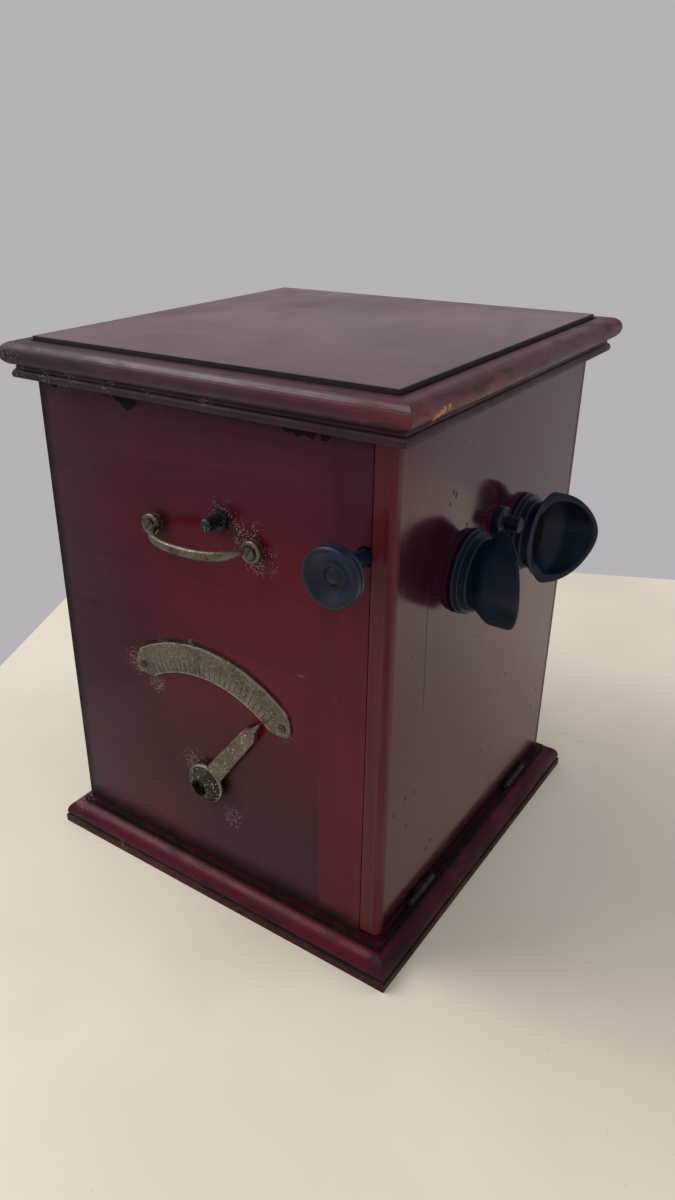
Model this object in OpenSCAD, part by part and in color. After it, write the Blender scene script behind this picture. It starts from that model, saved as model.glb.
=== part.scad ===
// Table stereoscope in a polished wooden cabinet.
// The front is a drop-down door that carries the two eyepieces. Glass slides stand in a tray
// inside. A pointer on the left wall picks a slide and a lever on the right wall lifts it.
// +Z is up and the eyepieces face -Y. The origin is the centre of the base's underside.

/* [Cabinet] */
// Width of the cabinet body, measured across the eyepieces
body_w = 226; // [216:1:280]
// Depth of the body, from the door's face to the back
body_d = 222; // [216:1:280]
// Height of the body's top edge above the table
body_h = 299; // [296:1:370]
// Thickness of the side and back walls
wall_t = 11; // [9:0.5:13]
// Thickness of the front door
door_t = 11; // [10:0.5:14]
// Thickness of the base board
base_t = 20; // [18:0.5:26]
// Thickness of the top board
top_t = 21; // [20:0.5:28]
// How far the plinth stands out from the body
plinth_out = 13; // [10:0.5:18]
// How far the cornice stands out from the body
cornice_out = 13.5; // [12:0.5:18]
// Width of the upright stile at the front of each side
stile_w = 27; // [20:1:34]
// Rounding of the door's upright front edges
door_round = 3; // [1:0.5:5]
// Width of the window in the back
window_w = 150; // [100:2:170]
// Height of the window in the back
window_h = 104; // [80:2:120]

/* [Door hinges] */
// Length of each hinge
hinge_len = 28; // [20:1:40]
// Distance of each hinge's middle from the centre
hinge_x = 66; // [40:1:80]
// Radius of the hinge knuckles
knuckle_r = 1.8; // [1.6:0.1:2.4]
// Radius of the hinge pins
hinge_pin_r = 0.8; // [0.6:0.1:1]
// Thickness of the hinge leaves
leaf_t = 1; // [0.8:0.1:1.5]

/* [Eyepieces] */
// Distance between the two eyepieces
eye_gap = 67; // [63:0.5:68]
// Height of the eyepieces above the table
eye_z = 211; // [207:1:212]
// Outside radius of the eyepiece tubes
tube_r = 15.5; // [14:0.5:17]
// Wall of the eyepiece tubes
tube_t = 1.5; // [1:0.25:2]
// Radius of the round flanges on the door
flange_r = 22.4; // [21.5:0.1:24]
// Radius of the neck between flange and eyecup
neck_r = 19.8; // [18.5:0.1:21]
// Radius of the eyecup where it meets the neck
cup_base_r = 18.2; // [17:0.1:19]
// Wall of the eyecup
cup_t = 3.2; // [2:0.2:4]
// How far each eyepiece moves sideways, either way
spacing_travel = 3.5; // [2:0.5:3.5]
// How far the eyepieces move out to focus
focus_travel = 6; // [3:0.5:6]

/* [Focus and spacing knobs] */
// Height of the focus shaft
focus_z = 244; // [241:1:248]
// Radius of the focus shaft
focus_shaft_r = 2.5; // [2:0.25:2.75]
// Radius of the focus knob
focus_knob_r = 14.3; // [12:0.1:20]
// Distance of the focus knob's face from the wall
focus_knob_out = 30; // [22:1:36]
// Height of the spacing knob
spacing_z = 228; // [227:0.5:229]
// Radius of the spacing knob's stem
spacing_stem_r = 4.2; // [3:0.2:6]
// Radius of the spacing knob's collar
spacing_collar_r = 8.5; // [7:0.5:8.5]

/* [Index pointer and slides] */
// Place of the pointer's pivot along the side wall
pointer_y = 3.5; // [-4:0.5:8]
// Height of the pointer's pivot
pointer_z = 78; // [74:1:80]
// Length of the pointer from its pivot to its tip
pointer_len = 70.5; // [60:0.5:71]
// Angle between the pointer and the vertical, at rest
pointer_rest = 36.2; // [30:0.2:36.8]
// Lean of the middle of the scale towards the front, degrees
scale_mid = 4; // [0:0.5:6]
// Half of the angle that the scale covers
scale_half = 33.5; // [30:0.5:34]
// Inner radius of the scale plate
scale_ri = 69; // [68:0.5:78]
// Width of the scale plate
scale_w = 18; // [14:0.5:20]
// Number of glass slides
slide_count = 25; // [10:1:25]
// Width of a glass slide
slide_w = 107; // [90:1:130]
// Height of a glass slide
slide_h = 45; // [40:1:48]
// Thickness of a glass slide
slide_t = 1.4; // [1:0.1:1.6]
// Height of the underside of the slides
slide_z = 68.5; // [68:0.5:72]
// Distance of the viewed slide behind the door's inner face
view_gap = 85; // [84:1:96]

/* [Lift] */
// Teeth on the lift gear
lift_teeth = 46; // [44:1:46]
// Length of the lift lever
lever_len = 70; // [50:1:80]
// Place of the hold pin's centre behind the door's inner face
hold_gap = 86; // [84:1:88]
// Height of the hold pin
hold_z = 244; // [240:1:246]
// Radius of the hold pin
hold_r = 3.5; // [2.5:0.1:4]
// Travel of the hold pin
hold_travel = 10; // [8:0.5:10]

/* [Bow handle] */
// Distance between the handle's two screws
handle_span = 66; // [50:1:80]
// Place of the handle's middle along the side wall
handle_y = -2; // [-10:1:12]
// Height of the handle's screws
handle_z = 232.3; // [200:0.1:236]
// Radius of the handle's bar
handle_bar_r = 3; // [2:0.1:4]
// How far the bow stands out from its feet
handle_out = 15; // [7:0.5:18]
// Radius of the neck between each foot and the bow
handle_neck_r = 2.4; // [1.8:0.1:3]
// Radius of the handle's round feet
foot_r = 6; // [5:0.5:8]

/* [Hidden] */
$fn = 72;
module_l = 2;              // tooth module of the sector, lift gear and their racks
module_s = 1;              // tooth module of the two small pinions
press_angle = 20;
backlash = 0.3;            // thinning of every tooth, for a free mesh
fit = 0.05;                // running clearance of a shaft in its bearing
slip = 0.2;                // clearance of flat sliding parts
gap = 0.5;                 // open joint between the door and what it closes on
stand = 0.3;               // distance kept by round parts that pass each other
mitre = 0.04;              // half of the open joint where two mouldings meet

x_out = body_w / 2;
x_in = x_out - wall_t;
y_front = -body_d / 2;
y_seam = y_front + door_t;
y_back = body_d / 2;
y_back_in = y_back - wall_t;
plinth_h = base_t - 1.6;
cornice_z = body_h;
door_z0 = base_t + 2 * leaf_t + 0.2;
door_z1 = body_h - 1.2;
door_inner = y_seam - gap;
door_depth = door_t - gap;

hinge_y = y_front - knuckle_r - stand;
hinge_z = base_t + leaf_t;

focus_y = y_seam + focus_shaft_r + stand;
focus_teeth = 10;
focus_pitch_r = module_s * focus_teeth / 2;
focus_rack_top = focus_z - focus_pitch_r;
focus_gear_x = 52;
small_add = 0.45;          // addendum of the racks that the small pinions run on
plate_t = 3;
plate_y = y_seam + focus_travel + 3;
plate_back = plate_y + plate_t;
plate_top = focus_rack_top - 6;
plate_bottom = eye_z - tube_r - 10.5;
plate_half = eye_gap / 2 + tube_r + 32;
guide_r = 3;
guide_x = plate_half - 6;
guide_dz = 15;
lens_slide_t = 2.5;
slide_half = 17;         // half the width of a lens slide beyond its tube's centre
lens_slide_z0 = eye_z - tube_r - 3.5;
lens_slide_z1 = eye_z + tube_r + 1;
spacing_teeth = 8;
spacing_pitch_r = module_s * spacing_teeth / 2;
spacing_shaft_r = 2;
flange_t = 5;
neck_t = 3.5;
cup_y = y_front - stand - flange_t - neck_t;
mouth_x = -1.5;            // middle of the eyecup's mouth, towards the temple
mouth_nasal = 16.5;        // reach of the mouth from there towards the nose
mouth_temple = 23.8;       // reach towards the temple
mouth_b = 26.5;            // half of the mouth's height
mouth_low = 4;             // height of the rim beside the nose, above the eyecup's base
mouth_high = 29;           // height of the rim at the temple
mouth_flare = 7;           // height over which the eyecup widens from its base

view_y = y_seam + view_gap;
slide_step = scale_half * 2 / (slide_count - 1);
sector_teeth = 57;
sector_r = module_l * sector_teeth / 2;
slide_pitch = sector_r * slide_step * PI / 180;
rack_y0 = sector_r * (scale_half + pointer_rest - scale_mid) * PI / 180;
sector_t = 3;
sector_x = -x_in + 1;
web_x = sector_x + sector_t + 0.5;
web_t = 2;
index_rack_z = pointer_z + sector_r;
deck_z0 = 36;
deck_z1 = 44;
runner_h = 6;
carriage_z0 = deck_z1 + runner_h + stand;
carriage_t = 4;
tray_floor_z = carriage_z0 + carriage_t;
tray_wall = 4;
tray_len = (slide_count - 1) * slide_pitch + slide_t + 2 * tray_wall + 1;
tray_half = slide_w / 2 + tray_wall + 1;
rest_back = scale_mid + scale_half - pointer_rest;
tray_y1 = view_y + slide_t / 2 + 0.5 + tray_wall + sector_r * rest_back * PI / 180;
tray_y0 = tray_y1 - tray_len;

shaft_r = 4;
bush_t = 1.5;              // wall of the bushes in the side walls
pointer_rim_r = 12.2;
pointer_rim = 4;
pointer_boss = 10;
arm_h0 = 2.4;
arm_t = 3;

lift_travel = eye_z - slide_h / 2 - slide_z;
magnet_h = hold_z + hold_r + stand - (eye_z + slide_h / 2 + 0.4);
arm_z = slide_z + slide_h + 0.4 + magnet_h;
arm_thick = 5;
arm_half = 6;
arm_x = web_x + web_t + 0.7;
rail_neck = 3;
rail_head = 7;
rail_t = 7;
block_half = 12;
block_x = x_in - rail_t - 5;
block_z0 = arm_z - 8;
block_z1 = arm_z + arm_thick + 20;
lift_rack_t = 3.5;
lift_r = module_l * lift_teeth / 2;
lift_y = view_y + block_half + lift_rack_t + 1.25 * module_l + lift_r;
lift_low = deck_z1 + slip;
lift_z = lift_low + lift_travel + module_l * PI;
lift_rack_x = block_x + 0.5;
lift_rack_w = 4;
lever_rest = 30;           // angle of the resting lever below the horizontal
lever_x = x_out + 5;
hold_y = y_seam + hold_gap;
bow_tilt = 6;

// Outline helpers -----------------------------------------------------------

function arc(cx, cy, r, a0, a1, n) =
    [for (i = [0 : n]) [cx + r * cos(a0 + (a1 - a0) * i / n), cy + r * sin(a0 + (a1 - a0) * i / n)]];

function involute(a) = (tan(a) - a * PI / 180) * 180 / PI;

// Half the angle that a gear tooth covers at radius r
function half_tooth(m, z, r) =
    let (pitch_r = m * z / 2, base_r = pitch_r * cos(press_angle), rr = max(r, base_r))
    90 / z - backlash / 2 / pitch_r * 180 / PI + involute(press_angle) - involute(acos(base_r / rr));

// Outline of one gear tooth that points along +X turned by angle a
function tooth(m, z, add, a) =
    let (pitch_r = m * z / 2, r0 = pitch_r - 1.25 * m, r1 = pitch_r + add * m, n = 4)
    concat(
        [for (i = [0 : n]) let (r = r0 + (r1 - r0) * i / n, h = half_tooth(m, z, r))
            [r * cos(a - h), r * sin(a - h)]],
        [for (i = [n : -1 : 0]) let (r = r0 + (r1 - r0) * i / n, h = half_tooth(m, z, r))
            [r * cos(a + h), r * sin(a + h)]]);

function teeth(m, z, add, first, last) =
    [for (k = [first : last]) each tooth(m, z, add, k * 360 / z)];

// Rack outline along +X with its pitch line on the X axis and its teeth towards +Y.
// A space between teeth is centred on x = 0, and the back lies at -depth.
module rack_2d(m, add, x0, x1, depth) {
    half = PI * m / 4 - backlash / 2;
    tip = half - add * m * tan(press_angle);
    root = half + 1.25 * m * tan(press_angle);
    difference() {
        translate([x0, -depth]) square([x1 - x0, depth + add * m]);
        for (k = [ceil(x0 / (PI * m)) - 1 : floor(x1 / (PI * m)) + 1])
            translate([k * PI * m, 0])
                polygon([[-(PI * m - root * 2) / 2, -1.25 * m], [(PI * m - root * 2) / 2, -1.25 * m],
                    [PI * m / 2 - tip, add * m], [PI * m / 2 - tip, add * m + 1],
                    [-PI * m / 2 + tip, add * m + 1], [-PI * m / 2 + tip, add * m]]);
    }
}

// Box between two corners
module span(a, b) {
    translate(a) cube(b - a);
}

// Turn a 2D outline into a wall plate: its x runs along +Y, its y along +Z, from x0 to x1
module along_x(x0, x1) {
    translate([x0, 0, 0]) rotate([90, 0, 90]) linear_extrude(x1 - x0) children();
}

// Extrude an outline drawn in X and Z backwards from y0 to y1
module along_y(y0, y1) {
    translate([0, y1, 0]) rotate([90, 0, 0]) linear_extrude(y1 - y0) children();
}

module rod_x(x0, x1, y, z, r) {
    translate([x0, y, z]) rotate([0, 90, 0]) cylinder(h = x1 - x0, r = r);
}

module rod_y(y0, y1, x, z, r) {
    translate([x, y0, z]) rotate([-90, 0, 0]) cylinder(h = y1 - y0, r = r);
}

// A round part turned about a line along -Y at x and eye height; profile [radius, distance out]
module turned_out(x, z, y) {
    translate([x, y, z]) rotate([90, 0, 0]) rotate_extrude() children();
}

// Slot with round ends, wider than 2 r by the travel on both sides
module oblong(x, z, r, travel) {
    translate([x, z]) square([2 * travel, 2 * r], center = true);
    for (s = [-1, 1]) translate([x + s * travel, z]) circle(r);
}

// Cabinet -------------------------------------------------------------------

module base_board() {
    color("maroon") span([-x_out, y_front, 0], [x_out, y_back, base_t]);
}

// Section of the plinth: x is the distance out from the body, y the height
module plinth_2d() {
    ovolo_r = plinth_h - 7;
    polygon(concat(
        [[0, 0], [plinth_out, 0], [plinth_out, 5], [plinth_out - 1.4, 5.8], [plinth_out - 1.4, 6.6]],
        arc(plinth_out - 0.6 - ovolo_r * 0.8, 6.8, ovolo_r * 0.8, 0, 90, 10),
        [[3.2, 6.8 + ovolo_r * 0.8], [3.2, plinth_h], [0, plinth_h]]));
}

// Section of the cornice: a bullnose over a stepped bead
module cornice_2d() {
    nose_r = 6.1;
    nose_x = cornice_out - nose_r;
    polygon(concat(
        [[0, 0], [2.6, 0], [2.6, 1.6]],
        arc(nose_x - 1.4, 1.6, 3.4, -60, 60, 6),
        [[nose_x, 6]],
        arc(nose_x, 6.6 + nose_r, nose_r, -90, 90, 16),
        [[1.4, 6.6 + 2 * nose_r], [1.4, 5 + 2 * nose_r], [0, 5 + 2 * nose_r]]));
}

// One length of moulding along X on the face at y = -offset, cut to 45 degrees at both ends
module mitred(len, offset, out, high) {
    intersection() {
        translate([-len / 2 - out, -offset, 0]) rotate([90, 0, 90]) linear_extrude(len + 2 * out)
            mirror([1, 0]) children();
        linear_extrude(high)
            polygon([[mitre - len / 2, -offset], [len / 2 - mitre, -offset],
                [len / 2 + out - mitre, -offset - out], [mitre - len / 2 - out, -offset - out]]);
    }
}

module moulding_ring(out, high) {
    for (turn = [0, 180]) rotate([0, 0, turn]) mitred(body_w, body_d / 2, out, high) children();
    for (turn = [90, 270]) rotate([0, 0, turn]) mitred(body_d, body_w / 2, out, high) children();
}

module plinth_mouldings() {
    color("maroon") moulding_ring(plinth_out, plinth_h) plinth_2d();
}

module cornice_mouldings() {
    color("maroon") translate([0, 0, cornice_z]) moulding_ring(cornice_out, top_t) cornice_2d();
}

module top_board() {
    color("maroon") span([-x_out, y_front, body_h], [x_out, y_back, body_h + top_t]);
}

module left_panel() {
    color("maroon") difference() {
        span([-x_out, y_seam + stile_w, base_t], [-x_in, y_back, body_h]);
        rod_x(-x_out - 1, -x_in + 1, pointer_y, pointer_z, shaft_r + fit + bush_t + fit);
        rod_x(-x_out - 1, -x_in + 1, hold_y, hold_z, hold_r + fit + bush_t + fit);
        for (s = [-1, 1])
            rod_x(-x_out - 1, -x_out + 9, handle_y + s * handle_span / 2, handle_z, 1.6);
        for (s = [-1, 1]) scale_end(s) rod_x(-x_out - 1, -x_out + 6, 0, 0, 1.3);
    }
}

module left_stile() {
    color("maroon") difference() {
        span([-x_out, y_seam, base_t], [-x_in, y_seam + stile_w, body_h]);
        rod_x(-x_out - 1, -x_in + 1, focus_y, focus_z, focus_shaft_r + 2.2);
        span([-x_out - 1, y_seam - 1, focus_z - focus_shaft_r - 2.2],
            [-x_in + 1, focus_y, focus_z + focus_shaft_r + 2.2]);
    }
}

module right_panel() {
    color("maroon") difference() {
        span([x_in, y_seam + stile_w, base_t], [x_out, y_back, body_h]);
        rod_x(x_in - 1, x_out + 1, lift_y, lift_z, shaft_r + fit + bush_t + fit);
    }
}

module right_stile() {
    color("maroon") span([x_in, y_seam, base_t], [x_out, y_seam + stile_w, body_h]);
}

module back_frame() {
    color("maroon") difference() {
        span([-x_in, y_back_in, base_t], [x_in, y_back, body_h]);
        span([-window_w / 2, y_back_in - 1, eye_z - window_h / 2],
            [window_w / 2, y_back + 1, eye_z + window_h / 2]);
        span([-window_w / 2 - 4, y_back_in - 1, eye_z - window_h / 2 - 4],
            [window_w / 2 + 4, y_back_in + 6, eye_z + window_h / 2 + 4]);
    }
}

module ground_glass() {
    color("whitesmoke") span([-window_w / 2 - 3.8, y_back_in + 4, eye_z - window_h / 2 - 3.8],
        [window_w / 2 + 3.8, y_back_in + 6, eye_z + window_h / 2 + 3.8]);
}

module glass_beads() {
    bead = 4;
    w = window_w / 2 + 4;
    h = window_h / 2 + 4;
    color("maroon") {
        for (s = [-1, 1]) {
            span([-w, y_back_in, eye_z + s * h - (s + 1) / 2 * bead],
                [w, y_back_in + 4, eye_z + s * h - (s + 1) / 2 * bead + bead]);
            span([s * w - (s + 1) / 2 * bead, y_back_in, eye_z - h + bead],
                [s * w - (s + 1) / 2 * bead + bead, y_back_in + 4, eye_z + h - bead]);
        }
    }
}

module septum() {
    color("dimgray") span([-2, plate_back + 16, eye_z - 32], [2, view_y - block_half - 2, body_h]);
}

// Hinges at the door's lower edge -------------------------------------------

// Leaf from z0 to z1 and the knuckles between the given shares of the hinge's length
module hinge_leaf(x, z0, z1, shares) {
    difference() {
        union() {
            span([x - hinge_len / 2, y_front + 1, z0], [x + hinge_len / 2, y_seam - 1, z1]);
            for (s = shares) {
                x0 = x - hinge_len / 2 + s[0] * hinge_len;
                x1 = x - hinge_len / 2 + s[1] * hinge_len;
                span([x0, hinge_y, z0], [x1, y_front + 1.01, z1]);
                rod_x(x0, x1, hinge_y, hinge_z, knuckle_r);
            }
        }
        rod_x(x - hinge_len, x + hinge_len, hinge_y, hinge_z, hinge_pin_r + fit);
    }
}

module hinge_base_leaves() {
    color("darkkhaki") for (s = [-1, 1])
        hinge_leaf(s * hinge_x, base_t, hinge_z, [[0, 0.3], [0.7, 1]]);
}

module hinge_door_leaves() {
    color("darkkhaki") for (s = [-1, 1])
        hinge_leaf(s * hinge_x, hinge_z + 0.02, hinge_z + leaf_t + 0.2, [[0.31, 0.69]]);
}

module hinge_pins() {
    color("dimgray") for (s = [-1, 1])
        rod_x(s * hinge_x - hinge_len / 2, s * hinge_x + hinge_len / 2, hinge_y, hinge_z, hinge_pin_r);
}

// Fittings on the left wall -------------------------------------------------

// Put children on the scale's screw at one end of its arc
module scale_end(s) {
    a = s * (scale_half + 6) - scale_mid;
    r = scale_ri + scale_w / 2;
    translate([0, pointer_y + r * sin(a), pointer_z + r * cos(a)]) children();
}

module scale_plate() {
    mid = scale_ri + scale_w / 2;
    color("silver") difference() {
        translate([0, pointer_y, pointer_z]) along_x(-x_out - 1.2, -x_out) rotate(scale_mid) {
            difference() {
                circle(scale_ri + scale_w, $fn = 144);
                circle(scale_ri, $fn = 144);
                for (s = [-1, 1]) rotate(-s * (scale_half + 2))
                    translate([s < 0 ? -200 : 0, -200]) square([200, 400]);
                translate([-200, -400]) square([400, 400]);
            }
            for (s = [-1, 1]) {
                rotate(-s * (scale_half + 2)) translate([0, mid]) circle(scale_w / 2 - 0.01);
                rotate(-s * (scale_half + 6)) translate([0, mid]) circle(5.5);
            }
        }
        for (k = [0 : slide_count - 1])
            translate([-x_out - 1.2, pointer_y, pointer_z])
                rotate([scale_mid + scale_half - k * slide_step, 0, 0])
                    span([-1, -0.2, scale_ri + 1], [0.3, 0.2, scale_ri + (k % 2 == 0 ? 9 : 6.8)]);
        for (s = [-1, 1]) scale_end(s) rod_x(-x_out - 3, -x_out + 1, 0, 0, 1.5);
    }
}

// Centre line of the bow handle lies in a plane tilted down and out from the wall
module bow_frame() {
    translate([-x_out - 4.2, handle_y, handle_z]) rotate([0, -bow_tilt, 0]) rotate([0, 0, 90])
        children();
}

module bow_handle() {
    half = handle_span / 2;
    bow_r = (half * half + handle_out * handle_out) / (2 * handle_out);
    reach = asin(half / bow_r);
    neck_at = half - foot_r + 1;
    neck_out = sqrt(bow_r * bow_r - neck_at * neck_at) - bow_r + handle_out;
    color("silver") difference() {
        union() {
            for (s = [-1, 1]) {
                rod_x(-x_out - 4.6, -x_out, handle_y + s * half, handle_z, foot_r);
                rod_x(-x_out - 4.2 - neck_out, -x_out - 4, handle_y + s * neck_at,
                    handle_z - neck_out * sin(bow_tilt), handle_neck_r);
            }
            bow_frame() translate([0, handle_out - bow_r, 0]) rotate([0, 0, 90 - reach])
                rotate_extrude(angle = 2 * reach)
                    polygon([for (i = [0 : 23]) [bow_r + handle_bar_r * 0.75 * cos(i * 15),
                        handle_bar_r * sin(i * 15)]]);
        }
        for (s = [-1, 1]) {
            rod_x(-x_out - 12, -x_out + 1, handle_y + s * half, handle_z, 1.9);
            rod_x(-x_out - 20, -x_out - 4.6, handle_y + s * half, handle_z, 3.6);
        }
    }
}

// Slotted screw along X; its head's top lies at x
module screw(x, y, z, head_r, head_t, shank_r, len) {
    difference() {
        union() {
            rod_x(x, x + head_t, y, z, head_r);
            rod_x(x + head_t - 0.01, x + len, y, z, shank_r);
        }
        translate([x, y, z]) rotate([35, 0, 0])
            span([-1, -0.35, -head_r - 1], [head_t * 0.6, 0.35, head_r + 1]);
    }
}

module wall_screws() {
    color("darkkhaki") {
        for (s = [-1, 1])
            screw(-x_out - 6, handle_y + s * handle_span / 2, handle_z, 3.2, 1.4, 1.5, 14);
        for (s = [-1, 1]) scale_end(s) screw(-x_out - 1.9, 0, 0, 2.3, 0.7, 1.2, 7);
    }
}

// Flanged bush in a side wall: the lip stands on the wall's face at x, the body runs inwards
module bush(x, inward, y, z, bore, lip_r, lip_h) {
    translate([x, y, z]) rotate([0, inward * 90, 0]) difference() {
        translate([0, 0, -lip_h]) union() {
            cylinder(h = wall_t + lip_h, r = bore + bush_t);
            cylinder(h = lip_h, r = lip_r);
        }
        translate([0, 0, -lip_h - 1]) cylinder(h = wall_t + lip_h + 2, r = bore);
    }
}

module wall_bushes() {
    color("darkkhaki") {
        bush(-x_out, 1, pointer_y, pointer_z, shaft_r + fit, shaft_r + 3.2, 0.8);
        bush(-x_out, 1, hold_y, hold_z, hold_r + fit, hold_r + 1.6, 2.6);
        bush(x_out, -1, lift_y, lift_z, shaft_r + fit, shaft_r + 3.2, 0.8);
    }
}

// Deck, runners and lift rail -----------------------------------------------

module deck_battens() {
    color("saddlebrown") for (s = [-1, 1])
        span([s * (x_in - 8) - 8, y_seam + 4, base_t], [s * (x_in - 8) + 8, y_back_in, deck_z0]);
}

module deck_board() {
    color("saddlebrown") span([-x_in, y_seam + 4, deck_z0], [x_in, y_back_in, deck_z1]);
}

module tray_runners() {
    color("darkkhaki") for (s = [-1, 1])
        span([s * (tray_half - 12) - 3, y_seam + 6, deck_z1],
            [s * (tray_half - 12) + 3, y_back_in - 2, deck_z1 + runner_h]);
}

module rail_2d(grow) {
    translate([x_in - rail_t + 4, view_y - rail_neck - grow])
        square([rail_t - 4 + grow, 2 * (rail_neck + grow)]);
    translate([x_in - rail_t - grow, view_y - rail_head - grow])
        square([4 + 2 * grow, 2 * (rail_head + grow)]);
}

module lift_rail() {
    color("silver") translate([0, 0, deck_z1]) linear_extrude(body_h - deck_z1) rail_2d(0);
}

// Door ----------------------------------------------------------------------

// Plan of the door: rounded at its two outer upright edges
module door_plan() {
    polygon(concat(
        [[x_out, door_inner], [-x_out, door_inner]],
        arc(-x_out + door_round, y_front + door_round, door_round, 180, 270, 8),
        arc(x_out - door_round, y_front + door_round, door_round, 270, 360, 8)));
}

module front_door() {
    color("firebrick") difference() {
        translate([0, 0, door_z0]) linear_extrude(door_z1 - door_z0) door_plan();
        along_y(y_front - 1, y_seam + 1) {
            for (s = [-1, 1]) oblong(s * eye_gap / 2, eye_z, tube_r + 0.6, spacing_travel);
            translate([0, spacing_z]) circle(spacing_shaft_r + 1);
        }
        for (s = [-1, 1])
            span([s * focus_gear_x - 4.5, y_seam - focus_travel - 2, plate_top - 1],
                [s * focus_gear_x + 4.5, y_seam + 1, focus_z + focus_pitch_r + 2]);
    }
}

module focus_bearings() {
    color("darkkhaki") for (x = [-1.35 * focus_gear_x, 1.2 * focus_gear_x])
        difference() {
            span([x - 3, door_inner, focus_z - 5.4], [x + 3, focus_y + 6, focus_z + 9]);
            rod_x(x - 5, x + 5, focus_y, focus_z, focus_shaft_r + fit);
        }
}

module guide_rods() {
    color("silver") for (sx = [-1, 1]) for (sz = [-1, 1])
        rod_y(door_inner, plate_back + 4, sx * guide_x, eye_z - 4 + sz * guide_dz, guide_r);
}

// Focus shaft ---------------------------------------------------------------

module focus_shaft() {
    color("gray") rod_x(-x_out - focus_knob_out + 10, 1.3 * focus_gear_x, focus_y, focus_z, focus_shaft_r);
}

// Section of the focus knob: x is the radius, y the distance out from the wall
module knob_2d() {
    r = focus_knob_r;
    face = focus_knob_out;
    difference() {
        polygon(concat(
            [[0, 1], [4, 1], [4, face - 11], [5.5, face - 9.5], [r - 3, face - 7.5]],
            arc(r - 1.5, face - 6, 1.5, -90, 0, 4),
            [[r, face - 4.6], [r - 0.6, face - 4.3], [r - 0.6, face - 3.8], [r, face - 3.5]],
            arc(r - 1.5, face - 1.5, 1.5, 0, 90, 4),
            [[r - 2.6, face], [6.4, face - 3.4], [4.6, face - 3.6], [3, face - 2.6], [0, face - 2]]));
        translate([-1, -1]) square([focus_shaft_r + 1, face - 9]);
    }
}

module focus_knob() {
    color("black") translate([-x_out, focus_y, focus_z]) rotate([0, -90, 0])
        rotate_extrude() knob_2d();
}

module pinion(m, z, add, t, bore) {
    difference() {
        linear_extrude(t) polygon(teeth(m, z, add, 0, z - 1));
        translate([0, 0, -1]) cylinder(h = t + 2, r = bore);
    }
}

module focus_pinions() {
    color("darkkhaki") for (s = [-1, 1])
        translate([s * focus_gear_x - 3, focus_y, focus_z]) rotate([0, 90, 0])
            pinion(module_s, focus_teeth, 0.9, 6, focus_shaft_r);
}

// Focus carriage ------------------------------------------------------------

module focus_plate() {
    color("darkkhaki") difference() {
        union() {
            span([-plate_half, plate_y, plate_bottom], [plate_half, plate_back, plate_top]);
            span([-9, plate_y, plate_top - 1], [9, plate_back, spacing_z + 7]);
        }
        along_y(plate_y - 1, plate_back + 1)
            for (s = [-1, 1]) oblong(s * eye_gap / 2, eye_z, tube_r + 0.6, spacing_travel);
        for (sx = [-1, 1]) for (sz = [-1, 1])
            rod_y(plate_y - 1, plate_back + 1, sx * guide_x, eye_z - 4 + sz * guide_dz, guide_r + fit);
        rod_y(plate_y - 1, plate_back + 1, 0, spacing_z, spacing_shaft_r + fit);
    }
}

module focus_racks() {
    color("darkkhaki") for (s = [-1, 1])
        translate([0, focus_y, focus_rack_top]) along_x(s * focus_gear_x - 3, s * focus_gear_x + 3)
            rack_2d(module_s, small_add, -4.2, plate_back - focus_y, focus_rack_top - plate_top);
}

// Each gib is an L that holds the upper or lower edge of a lens slide
module slide_gibs() {
    y1 = plate_back + lens_slide_t + slip;
    x0 = eye_gap / 2 - slide_half - spacing_travel + 16;
    color("darkkhaki") for (s = [-1, 1]) {
        span([s > 0 ? x0 : -plate_half + 12, plate_back, plate_bottom],
            [s > 0 ? plate_half - 12 : -x0, y1, lens_slide_z0 - slip]);
        span([s > 0 ? x0 : -plate_half + 12, y1, plate_bottom],
            [s > 0 ? plate_half - 12 : -x0, y1 + 1.2, lens_slide_z0 + 2]);
        span([s > 0 ? x0 : -plate_half + 12, plate_back, lens_slide_z1 + slip],
            [s > 0 ? plate_half - 12 : -x0, y1, plate_top]);
        span([s > 0 ? x0 : -plate_half + 12, y1, lens_slide_z1 - 2],
            [s > 0 ? plate_half - 12 : -x0, y1 + 1.2, plate_top]);
    }
}

// Spacing knob --------------------------------------------------------------

module spacing_knob() {
    color("black") difference() {
        turned_out(0, spacing_z, y_front - stand)
            polygon(concat([[0, 0], [spacing_collar_r, 0]],
                arc(spacing_collar_r - 2, 2.5, 2, 0, 90, 5),
                [[spacing_stem_r, 5.2], [spacing_stem_r, 12]],
                arc(spacing_stem_r - 1, 12, 1, 0, 90, 4), [[0, 13]]));
        rod_y(y_front - 8, y_front, 0, spacing_z, spacing_shaft_r);
    }
}

module spacing_spindle() {
    color("gray") {
        rod_y(y_front - 8, plate_back + lens_slide_t, 0, spacing_z, spacing_shaft_r);
        translate([0, plate_back + lens_slide_t, spacing_z]) rotate([90, 0, 0])
            linear_extrude(lens_slide_t - slip) rotate(90)
                polygon(teeth(module_s, spacing_teeth, 0.9, 0, spacing_teeth - 1));
    }
}

// Eyepieces: s is -1 on the left and 1 on the right -------------------------

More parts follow.
